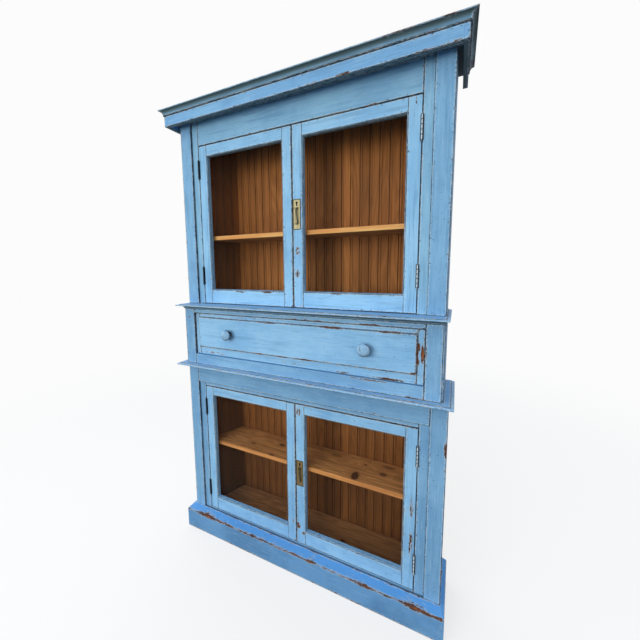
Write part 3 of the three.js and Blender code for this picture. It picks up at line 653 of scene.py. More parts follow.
# A darker, greyer copy of the blue paint: painted shade on the coves under the ledge and waist board.
cove_paint = blue_paint("cove_paint", (106, 148, 178), (124, 166, 194))
ledge_cove = cove_section(0.0449, 0.896, base_top)
ledge_course = wrapped(base_half, case_face, side_rear, 17 / 66)
add_moulding("ledge_cove_{}", ledge_cove, ledge_course, cove_paint, worn=0.2)


# Drawer section: side boards behind a face frame that laps over them, and runners inside.
# The stiles run from ledge to waist with the rails between them. Painted pine, runners left bare.

middle_face, middle_inside = -0.1085, -0.0835
middle_spots = (
    (-0.578, middle_face, 1.169, 0.007, 0.007, 2.4),
    (0.49, middle_face, 0.936, 0.09, 0.008, 0.6),
    (0.34, middle_face, 0.978, 0.15, 0.008, 1.45),
    (0.34, middle_face, 1.194, 0.06, 0.008, 0.95),
    (0.05, middle_face, 1.194, 0.16, 0.008, 0.7),
    (0.549, middle_face, 1.11, 0.005, 0.045, 0.55),
)
middle_paint = blue_paint("middle_paint", (120, 170, 212), (138, 188, 224), middle_spots, wear=0.05)
for side in ("left", "right"):
    node_board(f"middle_side_{side}", middle_paint, along_z, worn=0.3)
middle_opening = 0.545
middle_opening_z = (0.982, 1.192)
side_inner = 0.589
waist_bottom = 1.212
lap_y = (middle_face, middle_face + 0.004)
stile_y = (middle_face + 0.0002, middle_inside)
rail_span = (-middle_opening, middle_opening, middle_face, middle_inside)
# The stiles' sides and the top rail's underside along the drawer are dark: painted shade in the gaps.
middle_frame = [
    *both_sides(middle_opening, 0.603, *lap_y, ledge_top, waist_bottom, along_z),
    *both_sides(0.5452, side_inner, *stile_y, ledge_top, waist_bottom, along_z, "x"),
    (*rail_span, ledge_top, middle_opening_z[0], along_x, "", "Z"),
    (*rail_span, middle_opening_z[1], waist_bottom, along_x, "z"),
]
piece = boards("middle_face_frame_boards", middle_frame, middle_paint)
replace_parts(piece, "middle_face_frame")


bead_pitch = 0.043


def bare_pine(name, pale, dark, satin=0.7, dim=0.0, low_shade_and_rear_tone=0.0):
    """Bare or oiled pine: growth rings along the grain, pores, and a change from board to board."""
    made, start = new_material(name)
    grain, place, arris = start.grain(), start.place(), start.on_mesh("arris")
    swirl = grain.stretch(1.1, 9, 9).noise(1.0, 2)
    rings = swirl.rings(16)
    pores = grain.stretch(12, 420, 420).noise(1.0, 3)
    shift = place.noise(2.2, 2)
    across = place.part("x") / bead_pitch + 0.5
    each_board = start.node("TexWhiteNoise", {"noise_dimensions": "1D"}, {"W": across.maths("FLOOR", across)})
    tone = (rings.rise(0.15, 0.95) * 0.28).tint(rgb(*pale), rgb(*dark))
    tone = (shift.rise(0.35, 0.65) * 0.4).tint(tone, rgb(*dark))
    tone = (each_board * 0.55).tint(tone, rgb(*dark))
    tone = (pores.rise(0.5, 0.75) * 0.3).tint(tone, rgb(*(round(part * 0.55) for part in dark)))
    # Painted shade: the boards darken towards the bottom of the base case.
    low_down = place.part("z").rise(0.95, 0.3)
    tone = (low_down * low_shade_and_rear_tone).tint(tone, rgb(58, 32, 18))
    behind = start.node("NewGeometry", out=1).part("y").rise(0.5, 0.9)
    tone = (behind * low_shade_and_rear_tone).tint(tone, rgb(134, 100, 70))
    # Painted shade in the grooves of the beadboard, and dark joints on the back of the boards.
    tone = (arris.rise(0.22, 0.8) * dim).tint(tone, rgb(34, 18, 9))
    height = pores * 0.4 - arris * dim * 0.6
    finish = {
        "Base Color": tone,
        "Roughness": satin + pores * 0.15,
        "Specular IOR Level": 0.2,
        "Normal": height.bump(0.4, 0.0005),
    }
    start.surface(finish)
    return made


raw_wood = bare_pine("raw_wood", (214, 176, 124), (176, 128, 78))
runner_top = middle_opening_z[0]
for side, sign in (("left", -1), ("right", 1)):
    spans = [
        (sign * 0.521, sign * side_inner, middle_inside, side_rear, 0.96, runner_top, along_y),
        (sign * 0.541, sign * side_inner, -0.0775, side_rear, runner_top, 1.008, along_y),
    ]
    runner = boards(f"drawer_runner_{side}_boards", spans, raw_wood)
    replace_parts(runner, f"drawer_runner_{side}")


# Drawer: a front framed like a panel, with a raised field, on a box of thin pine boards.
# The front is painted and worn through along the lower edge; the box is bare wood.

drawer_face = -0.0985
field_face = -0.1065
drawer_spots = (
    (0.535, drawer_face, 1.098, 0.008, 0.05, 2.3),
    (0.524, drawer_face, 1.12, 0.006, 0.03, 1.3),
    (0.523, drawer_face, 1.068, 0.006, 0.02, 1.2),
    (0.517, field_face, 1.1, 0.007, 0.06, 0.8),
    (0.505, field_face, 1.028, 0.014, 0.012, 0.9),
    (0.24, drawer_face, 0.989, 0.06, 0.008, 1.55),
    (0.42, drawer_face, 0.989, 0.13, 0.01, 1.55),
    (-0.42, drawer_face, 0.996, 0.12, 0.014, 1.05),
    (0.0, drawer_face, 0.999, 0.2, 0.012, 0.75),
    (-0.165, field_face, 1.022, 0.04, 0.007, 0.9),
    (-0.04, field_face, 1.022, 0.05, 0.007, 1.0),
    (0.07, field_face, 1.022, 0.07, 0.008, 1.0),
    (-0.12, field_face, 1.17, 0.07, 0.007, 0.75),
    (0.185, field_face, 1.17, 0.08, 0.007, 1.0),
    (0.42, field_face, 1.17, 0.08, 0.007, 0.7),
)
drawer_paint = blue_paint("drawer_paint", (137, 192, 235), (155, 207, 244), drawer_spots, 0.05, grime_and_gap_shade=0.9)
drawer_y = (drawer_face, -0.0785)
drawer_half, field_half = 0.543, 0.518
drawer_z = (0.984, 1.19)
field_z = (1.021, 1.171)
# The front's outer sides and its top are dark: painted shade in the gap round the drawer.
drawer_frame = [
    *both_sides(field_half, drawer_half, *drawer_y, *drawer_z, along_z, "X", "z"),
    (-field_half, field_half, *drawer_y, field_z[1], drawer_z[1], along_x, "Z"),
    (-field_half, field_half, *drawer_y, drawer_z[0], field_z[0], along_x, "", "z"),
]
piece = boards("drawer_front_boards", drawer_frame, drawer_paint, "drawer", worn=0.6)
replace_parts(piece, "drawer_front")
# The field's sides and underside are dark, with a wider dark line along its bottom and right: painted shade,
# with dirt in the corner.
field_span = (-field_half, field_half, field_face, -0.0795, *field_z, along_x, "xXz", "", "zX")
boards("drawer_field", [field_span], drawer_paint, "drawer", worn=0.6, edge=0.0017)
for side in ("left", "right"):
    node_board(f"drawer_side_{side}", raw_wood, along_y)
node_board("drawer_back", raw_wood, along_x)
node_board("drawer_bottom", raw_wood, along_x)


# Knobs: two turned pine knobs, a mushroom head on a short neck, each on a screw through the front.
# They carry the same paint, thinned by hands.


to_front = (0, -1, 0)


def turned_form(profile, centre, axis, steps=24, arris=None):
    """A lathe form: the profile is (radius, height along the axis), with an arris value for each row."""
    along = [abs(part) for part in axis].index(1)
    shares = arris or [0.35] * len(profile)
    way = Vector(axis).normalized()
    across = way.orthogonal().normalized()
    other = way.cross(across)
    points = []
    for radius, height in profile:
        for i in range(steps):
            angle = 2 * math.pi * i / steps
            spoke = across * math.cos(angle) + other * math.sin(angle)
            points.append(Vector(centre) + way * height + spoke * radius)
    shades = [share for share in shares for _ in range(steps)]
    faces = []
    for row in range(len(profile) - 1):
        for i in range(steps):
            j = (i + 1) % steps
            start, onward = row * steps, (row + 1) * steps
            faces.append([start + i, start + j, onward + j, onward + i])
    faces.append(list(range(steps)))
    faces.append(list(range((len(profile) - 1) * steps, len(profile) * steps)))
    return points, faces, shades, along


knob_paint = blue_paint("knob_paint", (144, 188, 222), (170, 210, 238), wear=-0.2, grime_and_gap_shade=1.0)
knob_profile = [(0.015, 0), (0.0155, 0.0015), (0.015, 0.0042), (0.0125, 0.0058), (0.0112, 0.009)]
knob_profile += [(0.011, 0.0125), (0.0125, 0.0155), (0.0165, 0.0178), (0.0222, 0.0195), (0.0252, 0.0222)]
knob_profile += [(0.026, 0.0255), (0.0255, 0.0288), (0.0238, 0.0318), (0.0205, 0.0345), (0.0155, 0.0363)]
knob_profile += [(0.0095, 0.0374), (0.004, 0.0379), (0.0004, 0.038)]
# The neck and the back of the head count as edge, so the dark seam colour covers them: painted shade.
knob_arris = [1.0, 0.95, 0.95, 0.97, 1.0, 1.0, 0.98, 0.97, 0.97, 0.97, 0.94, 0.8, 0.5, 0.4, 0.5]
knob_arris += [0.4, 0.45, 0.5]
for side, sign in (("left", -1), ("right", 1)):
    form = turned_form(knob_profile, (sign * 0.329, field_face, 1.099), to_front, 40, knob_arris)
    knob = add_piece(f"drawer_knob_{side}_turned", [form], knob_paint, "drawer")
    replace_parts(knob, f"drawer_knob_{side}")


# Waist board: the upper case stands on it. Its lip is stepped like the ledge's, over a cove moulding.
# Painted pine, rubbed to the wood along the lip.

waist_edge = -0.1545
waist_lip, waist_top = 1.228, 1.236
waist_core, waist_side = 0.562, 0.5955
waist_inner = -0.0945
waist_spots = (
    (0.321, waist_edge, 1.232, 0.05, 0.02, 0.20),
    (0.42, waist_edge, 1.232, 0.08, 0.02, 0.18),
    (-0.25, waist_edge, 1.232, 0.06, 0.02, 0.16),
)
waist_paint = blue_paint(
    "waist_paint", (120, 170, 212), (138, 188, 226), waist_spots, wear=0.05, grime_and_gap_shade=0.6, top=ledge_sky_lit_top
)
core_low = (-waist_core, waist_inner, waist_bottom)
waist_forms = [even_box(core_low, (waist_core, back_rear, waist_top), along_x, 0.0)]
for sign in (-1, 1):
    near, far = sorted((sign * waist_core, sign * waist_side))
    side_low = (near, waist_inner, waist_bottom)
    waist_forms.append(box_form(side_low, (far, back_rear, waist_lip), along_y, 0.0001))
for _, stations, _ in wrapped(0.622, waist_edge, back_rear, 1.0):
    waist_forms.append(sweep_form(lip(waist_lip, waist_top, -0.061), stations, along_x))
piece = add_piece("waist_boards", waist_forms, waist_paint, worn=0.55)
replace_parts(piece, "waist_board")
waist_cove = cove_section(0.0313, 1.2122, waist_lip, -0.05)
waist_course = wrapped(0.609, middle_face, back_rear, 13 / 46)
add_moulding("waist_cove_{}", waist_cove, waist_course, cove_paint, worn=0.3)


# Upper case: side boards, a face frame with a deep frieze rail, and a pilaster over each stile.
# Painted pine, with the joints of the frame showing as fine lines.

upper_face, upper_inside = -0.0645, -0.0395
upper_spots = (
    (-0.2, upper_face, 1.994, 0.1, 0.008, 0.35),
    (0.2, upper_face, 1.994, 0.1, 0.008, 0.4),
    (0.33, upper_face, 1.994, 0.04, 0.008, 0.6),
    (0.3, upper_face, 2.036, 0.05, 0.004, 0.75),
)
upper_paint = blue_paint("upper_paint", (122, 172, 213), (136, 189, 227), upper_spots)
# A lighter copy of the upper case paint: painted light on the face frame and its frieze rail.
frame_lit_paint = blue_paint("frame_lit_paint", (132, 184, 220), (148, 200, 232), upper_spots)
for side in ("left", "right"):
    node_board(f"upper_side_{side}", upper_paint, along_z, worn=0.3)
    # Each pilaster's inner side, beside the frame, is dark: painted shade.
    node_board(f"upper_pilaster_{side}", upper_paint, along_z, worn=0.3, dark="X" if side == "left" else "x")
upper_frame_y = (upper_face, upper_inside)
upper_half, upper_opening = 0.607, 0.507
case_top = 2.125
# The stiles' sides and the frieze rail's underside along the doors are dark: painted shade in the gaps.
upper_frame = [
    *both_sides(upper_opening, upper_half, *upper_frame_y, waist_top, case_top, along_z, "x"),
    (-upper_opening, upper_opening, *upper_frame_y, 1.9925, case_top, along_x, "z"),
]
piece = boards("upper_face_frame_boards", upper_frame, frame_lit_paint, worn=0.4)
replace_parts(piece, "upper_face_frame")


# Inside: beadboard backs, side linings set at a slant, and loose shelves let into the linings.
# Pine with an old orange brown oil finish. Painted shade darkens the grooves along the bead
# and the boards low in the base case.

bead_profile = [(-0.0076, 0), (-0.0068, 0.0012), (-0.0058, 0.0026), (-0.0046, 0.0024), (-0.004, 0.0009)]
bead_profile += [(-0.0028, 0.0003), (-0.0012, 0.0), (0.0012, 0.0), (0.0028, 0.0003), (0.004, 0.0009)]
bead_profile += [(0.0046, 0.0024), (0.0058, 0.0026), (0.0068, 0.0012), (0.0076, 0)]


def beaded(from_point, to_point, inward, rear):
    """A plan outline of beadboard: each point is (x, y, depth of shade in the groove)."""
    run = Vector(to_point) - Vector(from_point)
    way = run.normalized()
    sink = Vector(inward)
    count = int((run.length - bead_pitch) / bead_pitch) + 1
    first = (run.length - (count - 1) * bead_pitch) / 2
    made = [(*from_point, 0.0)]
    for i in range(count):
        for step, depth in bead_profile:
            point = Vector(from_point) + way * (first + i * bead_pitch + step) + sink * depth
            made.append((point.x, point.y, min(1.0, depth / 0.002) * (1.0 if step < 0 else 0.45)))
    made.append((*to_point, 0.0))
    return made + rear


def upright(z):
    """A station that lays a plan outline at one height."""
    return lambda u, v: (u, v, z)


oiled_pine = bare_pine("oiled_pine", (208, 132, 70), (94, 54, 26), satin=0.42, dim=0.88, low_shade_and_rear_tone=0.62)
lining_pine = bare_pine("lining_pine", (160, 98, 50), (84, 48, 24), satin=0.42, dim=0.88, low_shade_and_rear_tone=0.62)
for node, half, bottom, top in (
    ("lower_back", 0.609, 0, waist_bottom),
    ("upper_back", upper_half, waist_top, case_top),
):
    rear = [(half, back_rear, 0.0)]
    for i in range(6, -7, -1):
        joint = i * bead_pitch * 2
        rear.append((joint + 0.0009, back_rear, 0.0))
        rear.append((joint, back_rear - 0.0013, 1.0))
        rear.append((joint - 0.0009, back_rear, 0.0))
    rear.append((-half, back_rear, 0.0))
    outline = beaded((-half, side_rear), (half, side_rear), (0, 1), rear)
    form = sweep_form(outline, [upright(bottom), upright(top)], along_z)
    piece = add_piece(node + "_boards", [form], oiled_pine)
    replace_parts(piece, node)


lining_rear = 0.1412


def clear_half(opening, front, plane):
    """Half the clear width between the slanting linings at a plane inside the case."""
    return opening + 0.014 - 0.082 * (plane - front) / (side_rear - front)


def add_lining(section, sign, opening, front, bottom, top):
    """One canted side of beadboard, from the rear of the face frame in to the back."""
    near, far = front + 0.0003, lining_rear
    x_near, x_far = clear_half(opening, front, near), clear_half(opening, front, far)
    slope = math.hypot(x_near - x_far, far - near)
    inward = (sign * (far - near) / slope, (x_near - x_far) / slope)
    across = 0.01 * slope / (far - near)
    rear = [(sign * (x_far + across), far, 0.0), (sign * (x_near + across), near, 0.0)]
    outline = beaded((sign * x_near, near), (sign * x_far, far), inward, rear)
    side = "left" if sign < 0 else "right"
    form = sweep_form(outline, [upright(bottom), upright(top)], along_z)
    piece = add_piece(f"{section}_lining_{side}_boards", [form], lining_pine)
    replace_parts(piece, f"{section}_lining_{side}")


floor_level = 0.115
for sign in (-1, 1):
    add_lining("upper", sign, upper_opening, upper_inside, waist_top, case_top)
    add_lining("base", sign, base_opening, base_inside, floor_level, base_top)

knot_level = 0.487
shelf_knots = (
    (0.264, -0.006, knot_level, 0.017, 0.03, 1.0),
    (0.375, 0.055, knot_level, 0.016, 0.014, 0.8),
    (0.39, 0.115, knot_level, 0.03, 0.012, 0.55),
    (0.137, 0.105, knot_level, 0.028, 0.012, 0.5),
    (0.286, 0.09, knot_level, 0.008, 0.006, 0.9),
    (-0.153, 0.068, knot_level, 0.018, 0.012, 0.8),
    (-0.159, -0.03, knot_level, 0.016, 0.01, 0.7),
    (-0.3, 0.02, knot_level, 0.014, 0.01, 0.6),
    (0.015, -0.035, knot_level, 0.014, 0.012, 0.7),
)


def shelf_pine(name, pale, dark, knots, nose=((228, 154, 88), (194, 124, 70))):
    """Oiled shelf boards: growth rings that bend round dark knots, and a paler front edge.

    Each knot is (x, y, z, half its width, half its depth, strength)."""
    made, start = new_material(name)
    grain, place = start.grain(), start.place()
    facing = start.node("NewGeometry", out=1).part("y")
    swirl = grain.stretch(1.3, 10, 10).noise(1.0, 3)
    streaks = grain.stretch(3, 70, 70).noise(1.0, 4, 0.6)
    ragged = place.noise(60, 3)
    core = halo = None
    for x, y, z, wide, deep, strength in knots:
        scaled = place.stretch(1 / wide, 1 / deep, 20)
        near = scaled.near((x / wide, y / deep, z * 20), 3.2)
        bend = near.rise(0, 1)
        swirl = swirl + bend * 0.5
        knot = (near + (ragged - 0.5) * 0.25).rise(0.62, 0.78) * strength
        core = knot if core is None else core.larger(knot)
        ring = bend * strength
        halo = ring if halo is None else halo.larger(ring)
    rings = swirl.rings(15)
    pores = grain.stretch(12, 420, 420).noise(1.0, 3)
    tone = (rings.rise(0.2, 0.95) * 0.55).tint(rgb(*pale), rgb(*dark))
    tone = (streaks.rise(0.42, 0.66) * 0.6).tint(tone, rgb(*dark))
    tone = (place.noise(3.0, 2).rise(0.4, 0.62) * 0.35).tint(tone, rgb(*dark))
    tone = (pores.rise(0.5, 0.75) * 0.35).tint(tone, rgb(84, 46, 22))
    if core is not None:
        tone = (halo * 0.35).tint(tone, rgb(128, 70, 40))
        tone = (core * 0.9).tint(tone, rgb(66, 38, 28))
    front = (facing * -1).rise(0.4, 0.8)
    tone = (front * 0.95).tint(tone, streaks.rise(0.4, 0.62).tint(rgb(*nose[0]), rgb(*nose[1])))
    finish = {
        "Base Color": tone,
        "Roughness": 0.42 + pores * 0.15,
        "Specular IOR Level": 0.3,
        "Normal": (pores * 0.5).bump(0.4, 0.0005),
    }
    start.surface(finish)
    return made


def shelf_end(sign, opening, front):
    """The slanting end of a shelf, let 4 mm into the lining beside it."""
    return lambda u, v: (sign * (clear_half(opening, front, u) + 0.004), u, v)


pale_nose = ((255, 196, 124), (244, 166, 94))
upper_shelf_pine = shelf_pine("upper_shelf_pine", (210, 146, 86), (164, 104, 56), (), pale_nose)
base_shelf_pine = shelf_pine("base_shelf_pine", (232, 164, 102), (156, 100, 56), shelf_knots)
for section, opening, front, top, finish in (
    ("upper", upper_opening, upper_inside, 1.57, upper_shelf_pine),
    ("base", base_opening, base_inside, 0.488, base_shelf_pine),
):
    nose = [(front + 0.007, top - 0.004), (front + 0.0082, top - 0.0012, 0), (front + 0.011, top)]
    under = top - 0.02
    profile = eased([*nose, (lining_rear, top), (lining_rear, under), (front + 0.007, under)])
    ends = [shelf_end(sign, opening, front) for sign in (-1, 1)]
    form = sweep_form(profile, ends, along_x)
    piece = add_piece(f"{section}_shelf_board", [form], finish)
    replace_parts(piece, f"{section}_shelf")
bottom_knots = ((0.2, 0.02, floor_level, 0.014, 0.012, 0.8),)
bottom_pine = shelf_pine("bottom_pine", (186, 132, 84), (128, 86, 52), bottom_knots)
node_board("base_bottom", bottom_pine, along_x)


# Cornice: a top board over a fascia box with a soffit strip, and a crown moulding round the board's edge.
# Painted pine. The crown is mitred, and the fascia's front board stands between its returns.

fascia_face = -0.1355
cornice_spots = (
    (0.595, fascia_face, 2.084, 0.035, 0.01, 0.75),
    (0.53, fascia_face, 2.081, 0.07, 0.006, 0.5),
    (0.245, fascia_face, 2.083, 0.04, 0.008, 1.0),
    (0.15, fascia_face, 2.083, 0.06, 0.006, 0.5),
    (0.585, -0.1545, 2.149, 0.04, 0.012, 0.75),
    (0.45, -0.1545, 2.149, 0.12, 0.01, 0.5),
)
cornice_paint = blue_paint("cornice_paint", (121, 177, 226), (139, 194, 234), cornice_spots, wear=0.03)
node_board("upper_top_board", cornice_paint, along_x, worn=0.3)
fascia_half, return_inner = 0.641, 0.624
fascia_back, soffit_back = -0.1185, -0.0745
fascia_z = (2.078, case_top)
soffit_z = (2.099, case_top)
fascia_boards = [
    (-return_inner, return_inner, fascia_face, fascia_back, *fascia_z, along_x, "", "xX"),
    *both_sides(return_inner, fascia_half, fascia_face, back_rear, *fascia_z, along_y, "", "x"),
    (-return_inner, return_inner, fascia_back, soffit_back, *soffit_z, along_x),
    (-0.542, 0.542, soffit_back, upper_face, *soffit_z, along_x),
]
piece = boards("cornice_fascia_boards", fascia_boards, cornice_paint, worn=0.4)
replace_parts(piece, "cornice_fascia")
# A darker, greyer copy of the cornice paint: painted shade on the crown's hollow, with dirt.
crown_paint = blue_paint("crown_paint", (104, 144, 170), (122, 162, 188), cornice_spots, 0.12, grime_and_gap_shade=0.9)
hollow = [(u, v, 0.15) for u, v, _ in quarter((0.004, 2.129), (0.017, 2.1455), 10)]
crown_top = 2.15
crown_section = [(0, case_top, 0.9), (0.0036, case_top, 0.97), (0.004, 2.1254, 0.97)]
crown_section += [(0.004, 2.1286, 0.97), *hollow]
crown_section += [(0.017, 2.146, 0.8), (0.0186, 2.146, 0.7), (0.019, 2.1464, 0.7), (0.019, 2.148, 0.68)]
crown_section += [(0.019, 2.1494, 0.72), (0.0184, crown_top, 0.72), (0.012, crown_top, 0.3)]
crown_section += [(0, crown_top, 0.1)]
crown_course = wrapped(fascia_half, fascia_face, back_rear, 1.0)
crowns = add_moulding("crown_{}_moulding", crown_section, crown_course, crown_paint, 0.35, worn_ends=True)
for crown, side in zip(crowns, ("left", "front", "right")):
    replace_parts(crown, f"cornice_crown_{side}")


# Doors: stiles and rails round one opening, a moulded edge inside it, and a pane in a rabbet behind.
# Painted pine. Each hangs on two loose-pin butt hinges of iron, dark on the left doors and chalky with
# paint on the right ones, which also carry the lock plates.

upper_door_spots = (
    (0.485, upper_face, 1.972, 0.004, 0.022, 1.6),
    (-0.29, upper_face, 1.299, 0.05, 0.006, 1.1),
    (-0.14, upper_face, 1.3, 0.05, 0.007, 1.1),
    (0.2, upper_face, 1.303, 0.05, 0.005, 0.9),
    (0.022, upper_face, 1.48, 0.02, 0.034, 1.55),
    (0.02, upper_face, 1.385, 0.02, 0.036, 1.6),
    (0.03, upper_face, 1.25, 0.05, 0.01, 0.5),
)
base_door_spots = (
    (0.014, base_face, 0.2, 0.016, 0.03, 1.5),
    (0.034, base_face, 0.168, 0.014, 0.018, 1.5),
    (-0.016, base_face, 0.215, 0.01, 0.026, 1.1),
    (0.018, base_face, 0.765, 0.018, 0.04, 1.5),
    (0.512, base_face, 0.31, 0.016, 0.1, 1.4),
    (0.3, base_face, 0.18, 0.08, 0.01, 0.5),
    (0.512, base_face, 0.47, 0.014, 0.08, 1.3),
)
iron, start = new_material("iron")
place, arris = start.place(), start.on_mesh("arris")
flecks = place.noise(420, 2)
painted_side = place.part("x").rise(-0.1, 0.1)
chalked = flecks.rise(0.3, 0.5).tint(rgb(158, 194, 222), rgb(220, 236, 246))
dark_iron = flecks.rise(0.5, 0.65).tint(rgb(24, 32, 42), rgb(58, 74, 92))
tone = painted_side.tint(dark_iron, chalked)
# The iron goes dark where it turns away from the front and where it counts as edge: painted shade, with some
# grime.
sideways = 1 + start.node("TexCoord", out=1).part("y")
grime_and_shade = arris.rise(0.6, 0.95).larger(sideways.rise(0.02, 0.2))
finish = {
    "Base Color": (grime_and_shade * 0.92).tint(tone, rgb(20, 28, 38)),
    "Metallic": 0.15 - grime_and_shade * 0.15,
    "Roughness": 0.42 + flecks * 0.2,
    "Specular IOR Level": 0.25,
    "Normal": flecks.bump(0.3, 0.0003),
}
start.surface(finish)

pane, start = new_material("window_glass")
wavy = start.place().noise(7, 1).bump(0.1, 0.001)
clear = start.node("BsdfTransparent", {}, {"Color": (0.955, 0.97, 0.965, 1)})
gloss = start.node("BsdfAnisotropic", {}, {"Color": (0.9, 0.95, 0.95, 1), "Roughness": 0.03, "Normal": wavy})
edge_on = start.node("LayerWeight", {}, {"Blend": 0.5}, out=1)
sheer = edge_on.maths("POWER", edge_on, 5) * 0.45 + 0.002
start.node("OutputMaterial", {}, {"Surface": start.node("MixShader", {}, {0: sheer, 1: clear, 2: gloss})})

to_top = (0, 0, 1)
door_gap = 0.0025
hinge_length = 0.082
knuckle_gap = 0.0004
knuckle_step = (hinge_length + knuckle_gap) / 5


def knuckles(axis_x, axis_y, middle_z, first):
    """Every second knuckle of a hinge, rounded and dark towards its ends: painted shade between knuckles."""
    forms = []
    radius = 0.004
    for index in range(first, 5, 2):
        low = middle_z - hinge_length / 2 + index * knuckle_step
        high = low + knuckle_step - knuckle_gap
        profile = [(radius * 0.7, low), (radius * 0.93, low + 0.0008), (radius, low + 0.0026)]
        profile += [(radius, high - 0.0026), (radius * 0.93, high - 0.0008), (radius * 0.7, high)]
        shares = [1.0, 0.95, 0.2, 0.2, 0.95, 1.0]
        forms.append(turned_form(profile, (axis_x, axis_y, 0), to_top, arris=shares))
    return forms


def half_hinge(axis_x, axis_y, middle_z, way, first):
    """A leaf in the gap beside the door, its knuckles, and a dark strip at the face beside them.

    That strip is painted shade: it shows as a dark line beside the knuckles."""
    half = hinge_length / 2
    near, far = sorted((axis_x + way * 0.00025, axis_x + way * 0.00125))
    leaf = box_form((near, axis_y, middle_z - half), (far, axis_y + 0.022, middle_z + half), along_z, 0.0003)
    near, far = sorted((axis_x + way * 0.0014, axis_x + way * 0.0062))
    low = (near, axis_y + 0.0042, middle_z - half - 0.0015)
    high = (far, axis_y + 0.006, middle_z + half + 0.0015)
    return [leaf, *knuckles(axis_x, axis_y, middle_z, first), even_box(low, high, along_z, 1.0, 0.0002)]


def add_hinge(node, axis_x, axis_y, middle_z, outward):
    """The fixed half: a leaf on the frame, its knuckles, and the loose pin with its two tips."""
    forms = half_hinge(axis_x, axis_y, middle_z, outward, 0)
    tip = [(0.0016, 0.0411), (0.0026, 0.0416), (0.0033, 0.0426), (0.0034, 0.0436), (0.003, 0.0448)]
    tip += [(0.0018, 0.0457), (0.0005, 0.046)]
    pin = [(radius, -height) for radius, height in reversed(tip)] + tip
    # The lower tip darkens underneath, and both darken where they meet the knuckles: painted shade.
    shares = [0.9, 0.9, 0.4, 0.1, 0.1, 0.4, 1.0, 1.0, 0.4, 0.1, 0.1, 0.4, 0.6, 0.6]
    forms.append(turned_form(pin, (axis_x, axis_y, middle_z), to_top, arris=shares))
    piece = add_piece(node + "_forged", forms, iron)
    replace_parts(piece, node)


def add_door(section, side, opening, face, ends, widths, hinge_insets, paint):
    """A door: its bottom and top, the widths of its stiles and top rail, and how far in its hinges sit."""
    sign = -1 if side == "left" else 1
    body = f"{section}_{side}_door"
    bottom, top = ends
    stile, top_rail = widths
    hinge_x, hinge_y = sign * (opening - door_gap / 2), face - 0.0045
    outer, inner = opening - door_gap, door_gap / 2
    sash = (inner + stile, outer - stile)
    sash_z = (bottom + 0.071, top - top_rail)
    lap, rabbet = 0.004, 0.008
    shoulder, back = face + 0.018, face + 0.025
    spans = []
    # The door's sides and edges are dark but for the hinged edge: painted shade in the gaps. The left door's
    # meeting edge also has a wider dark line: painted shade with dirt.
    for x0, x1, *edges in (
        (inner, sash[0] - lap, inner, sash[0] - rabbet),
        (sash[1] + lap, outer, sash[1] + rabbet, outer),
    ):
        hung = ("X" if sign > 0 else "x") if x1 == outer else "-"
        dark_lined = "X" if sign < 0 and x0 == inner else ""
        spans.append((x0, x1, face, shoulder, bottom, top, along_z, "xXzZ".replace(hung, ""), hung, dark_lined))
        spans.append((*edges, shoulder - 0.002, back, bottom, top, along_z))
    for z0, z1, *edges in (
        (bottom, sash_z[0] - lap, bottom, sash_z[0] - rabbet),
        (sash_z[1] + lap, top, sash_z[1] + rabbet, top),
    ):
        spans.append((sash[0] - lap, sash[1] + lap, face, shoulder, z0, z1, along_x, "zZ", "xX"))
        spans.append((sash[0] - rabbet, sash[1] + rabbet, shoulder - 0.002, back, *edges, along_x))
    placed = [(sign * x0, sign * x1, *rest) for x0, x1, *rest in spans]
    door = boards(f"{section}_door_{side}_boards", placed, paint, body, dark="xXzZ")
    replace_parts(door, f"{section}_door_{side}")

    corners = ((sash[0], sash_z[0], 1, 1), (sash[1], sash_z[0], -1, 1))
    corners += ((sash[1], sash_z[1], -1, -1), (sash[0], sash_z[1], 1, -1))

    def station(x, z, way_x, way_z):
        return lambda u, v: (sign * (x - way_x * u), v, z - way_z * u)

    profile = [(lap, shoulder, 0.2), (lap, face + 0.0009, 1.0), (lap - 0.0012, face + 0.0009, 1.0)]
    ovolo = quarter((lap - 0.0013, face + 0.001), (0.0014, face + 0.0042), 5, hollow=False)
    profile += [(u, v, 0.2) for u, v, _ in ovolo]
    profile += [(0.0014, face + 0.0052, 0.9), (0.0002, face + 0.0054, 1.0), (0, face + 0.0062, 0.8)]
    profile += [(0, face + 0.0078, 0.3), (0, shoulder - 0.002, 0.3), (0, shoulder, 0.9)]
    ring = sweep_form(profile, [station(*corner) for corner in corners], along_z, ring=True)
    add_piece(f"{section}_sash_{side}", [ring], sash_paint, body, worn=0.45)

    putty = [(0.0078, shoulder + 0.0031), (0.0078, back), (0.0066, back), (0.0006, shoulder + 0.0031)]
    bead = sweep_form(eased(putty, 0.0004), [station(*corner) for corner in corners], along_z, ring=True)
    add_piece(f"{section}_putty_{side}", [bead], sash_paint, body, worn=0.2)

    for place, middle_z in (("bottom", bottom + hinge_insets[0]), ("top", top - hinge_insets[1])):
        forms = half_hinge(hinge_x, hinge_y, middle_z, -sign, 1)
        add_piece(f"{section}_hung_leaf_{side}_{place}", forms, iron, body)
        add_hinge(f"{section}_hinge_{side}_{place}", hinge_x, hinge_y, middle_z, sign)
    frame["nodes"][f"{section}_glass_{side}"].data.materials.clear()
    frame["nodes"][f"{section}_glass_{side}"].data.materials.append(pane)


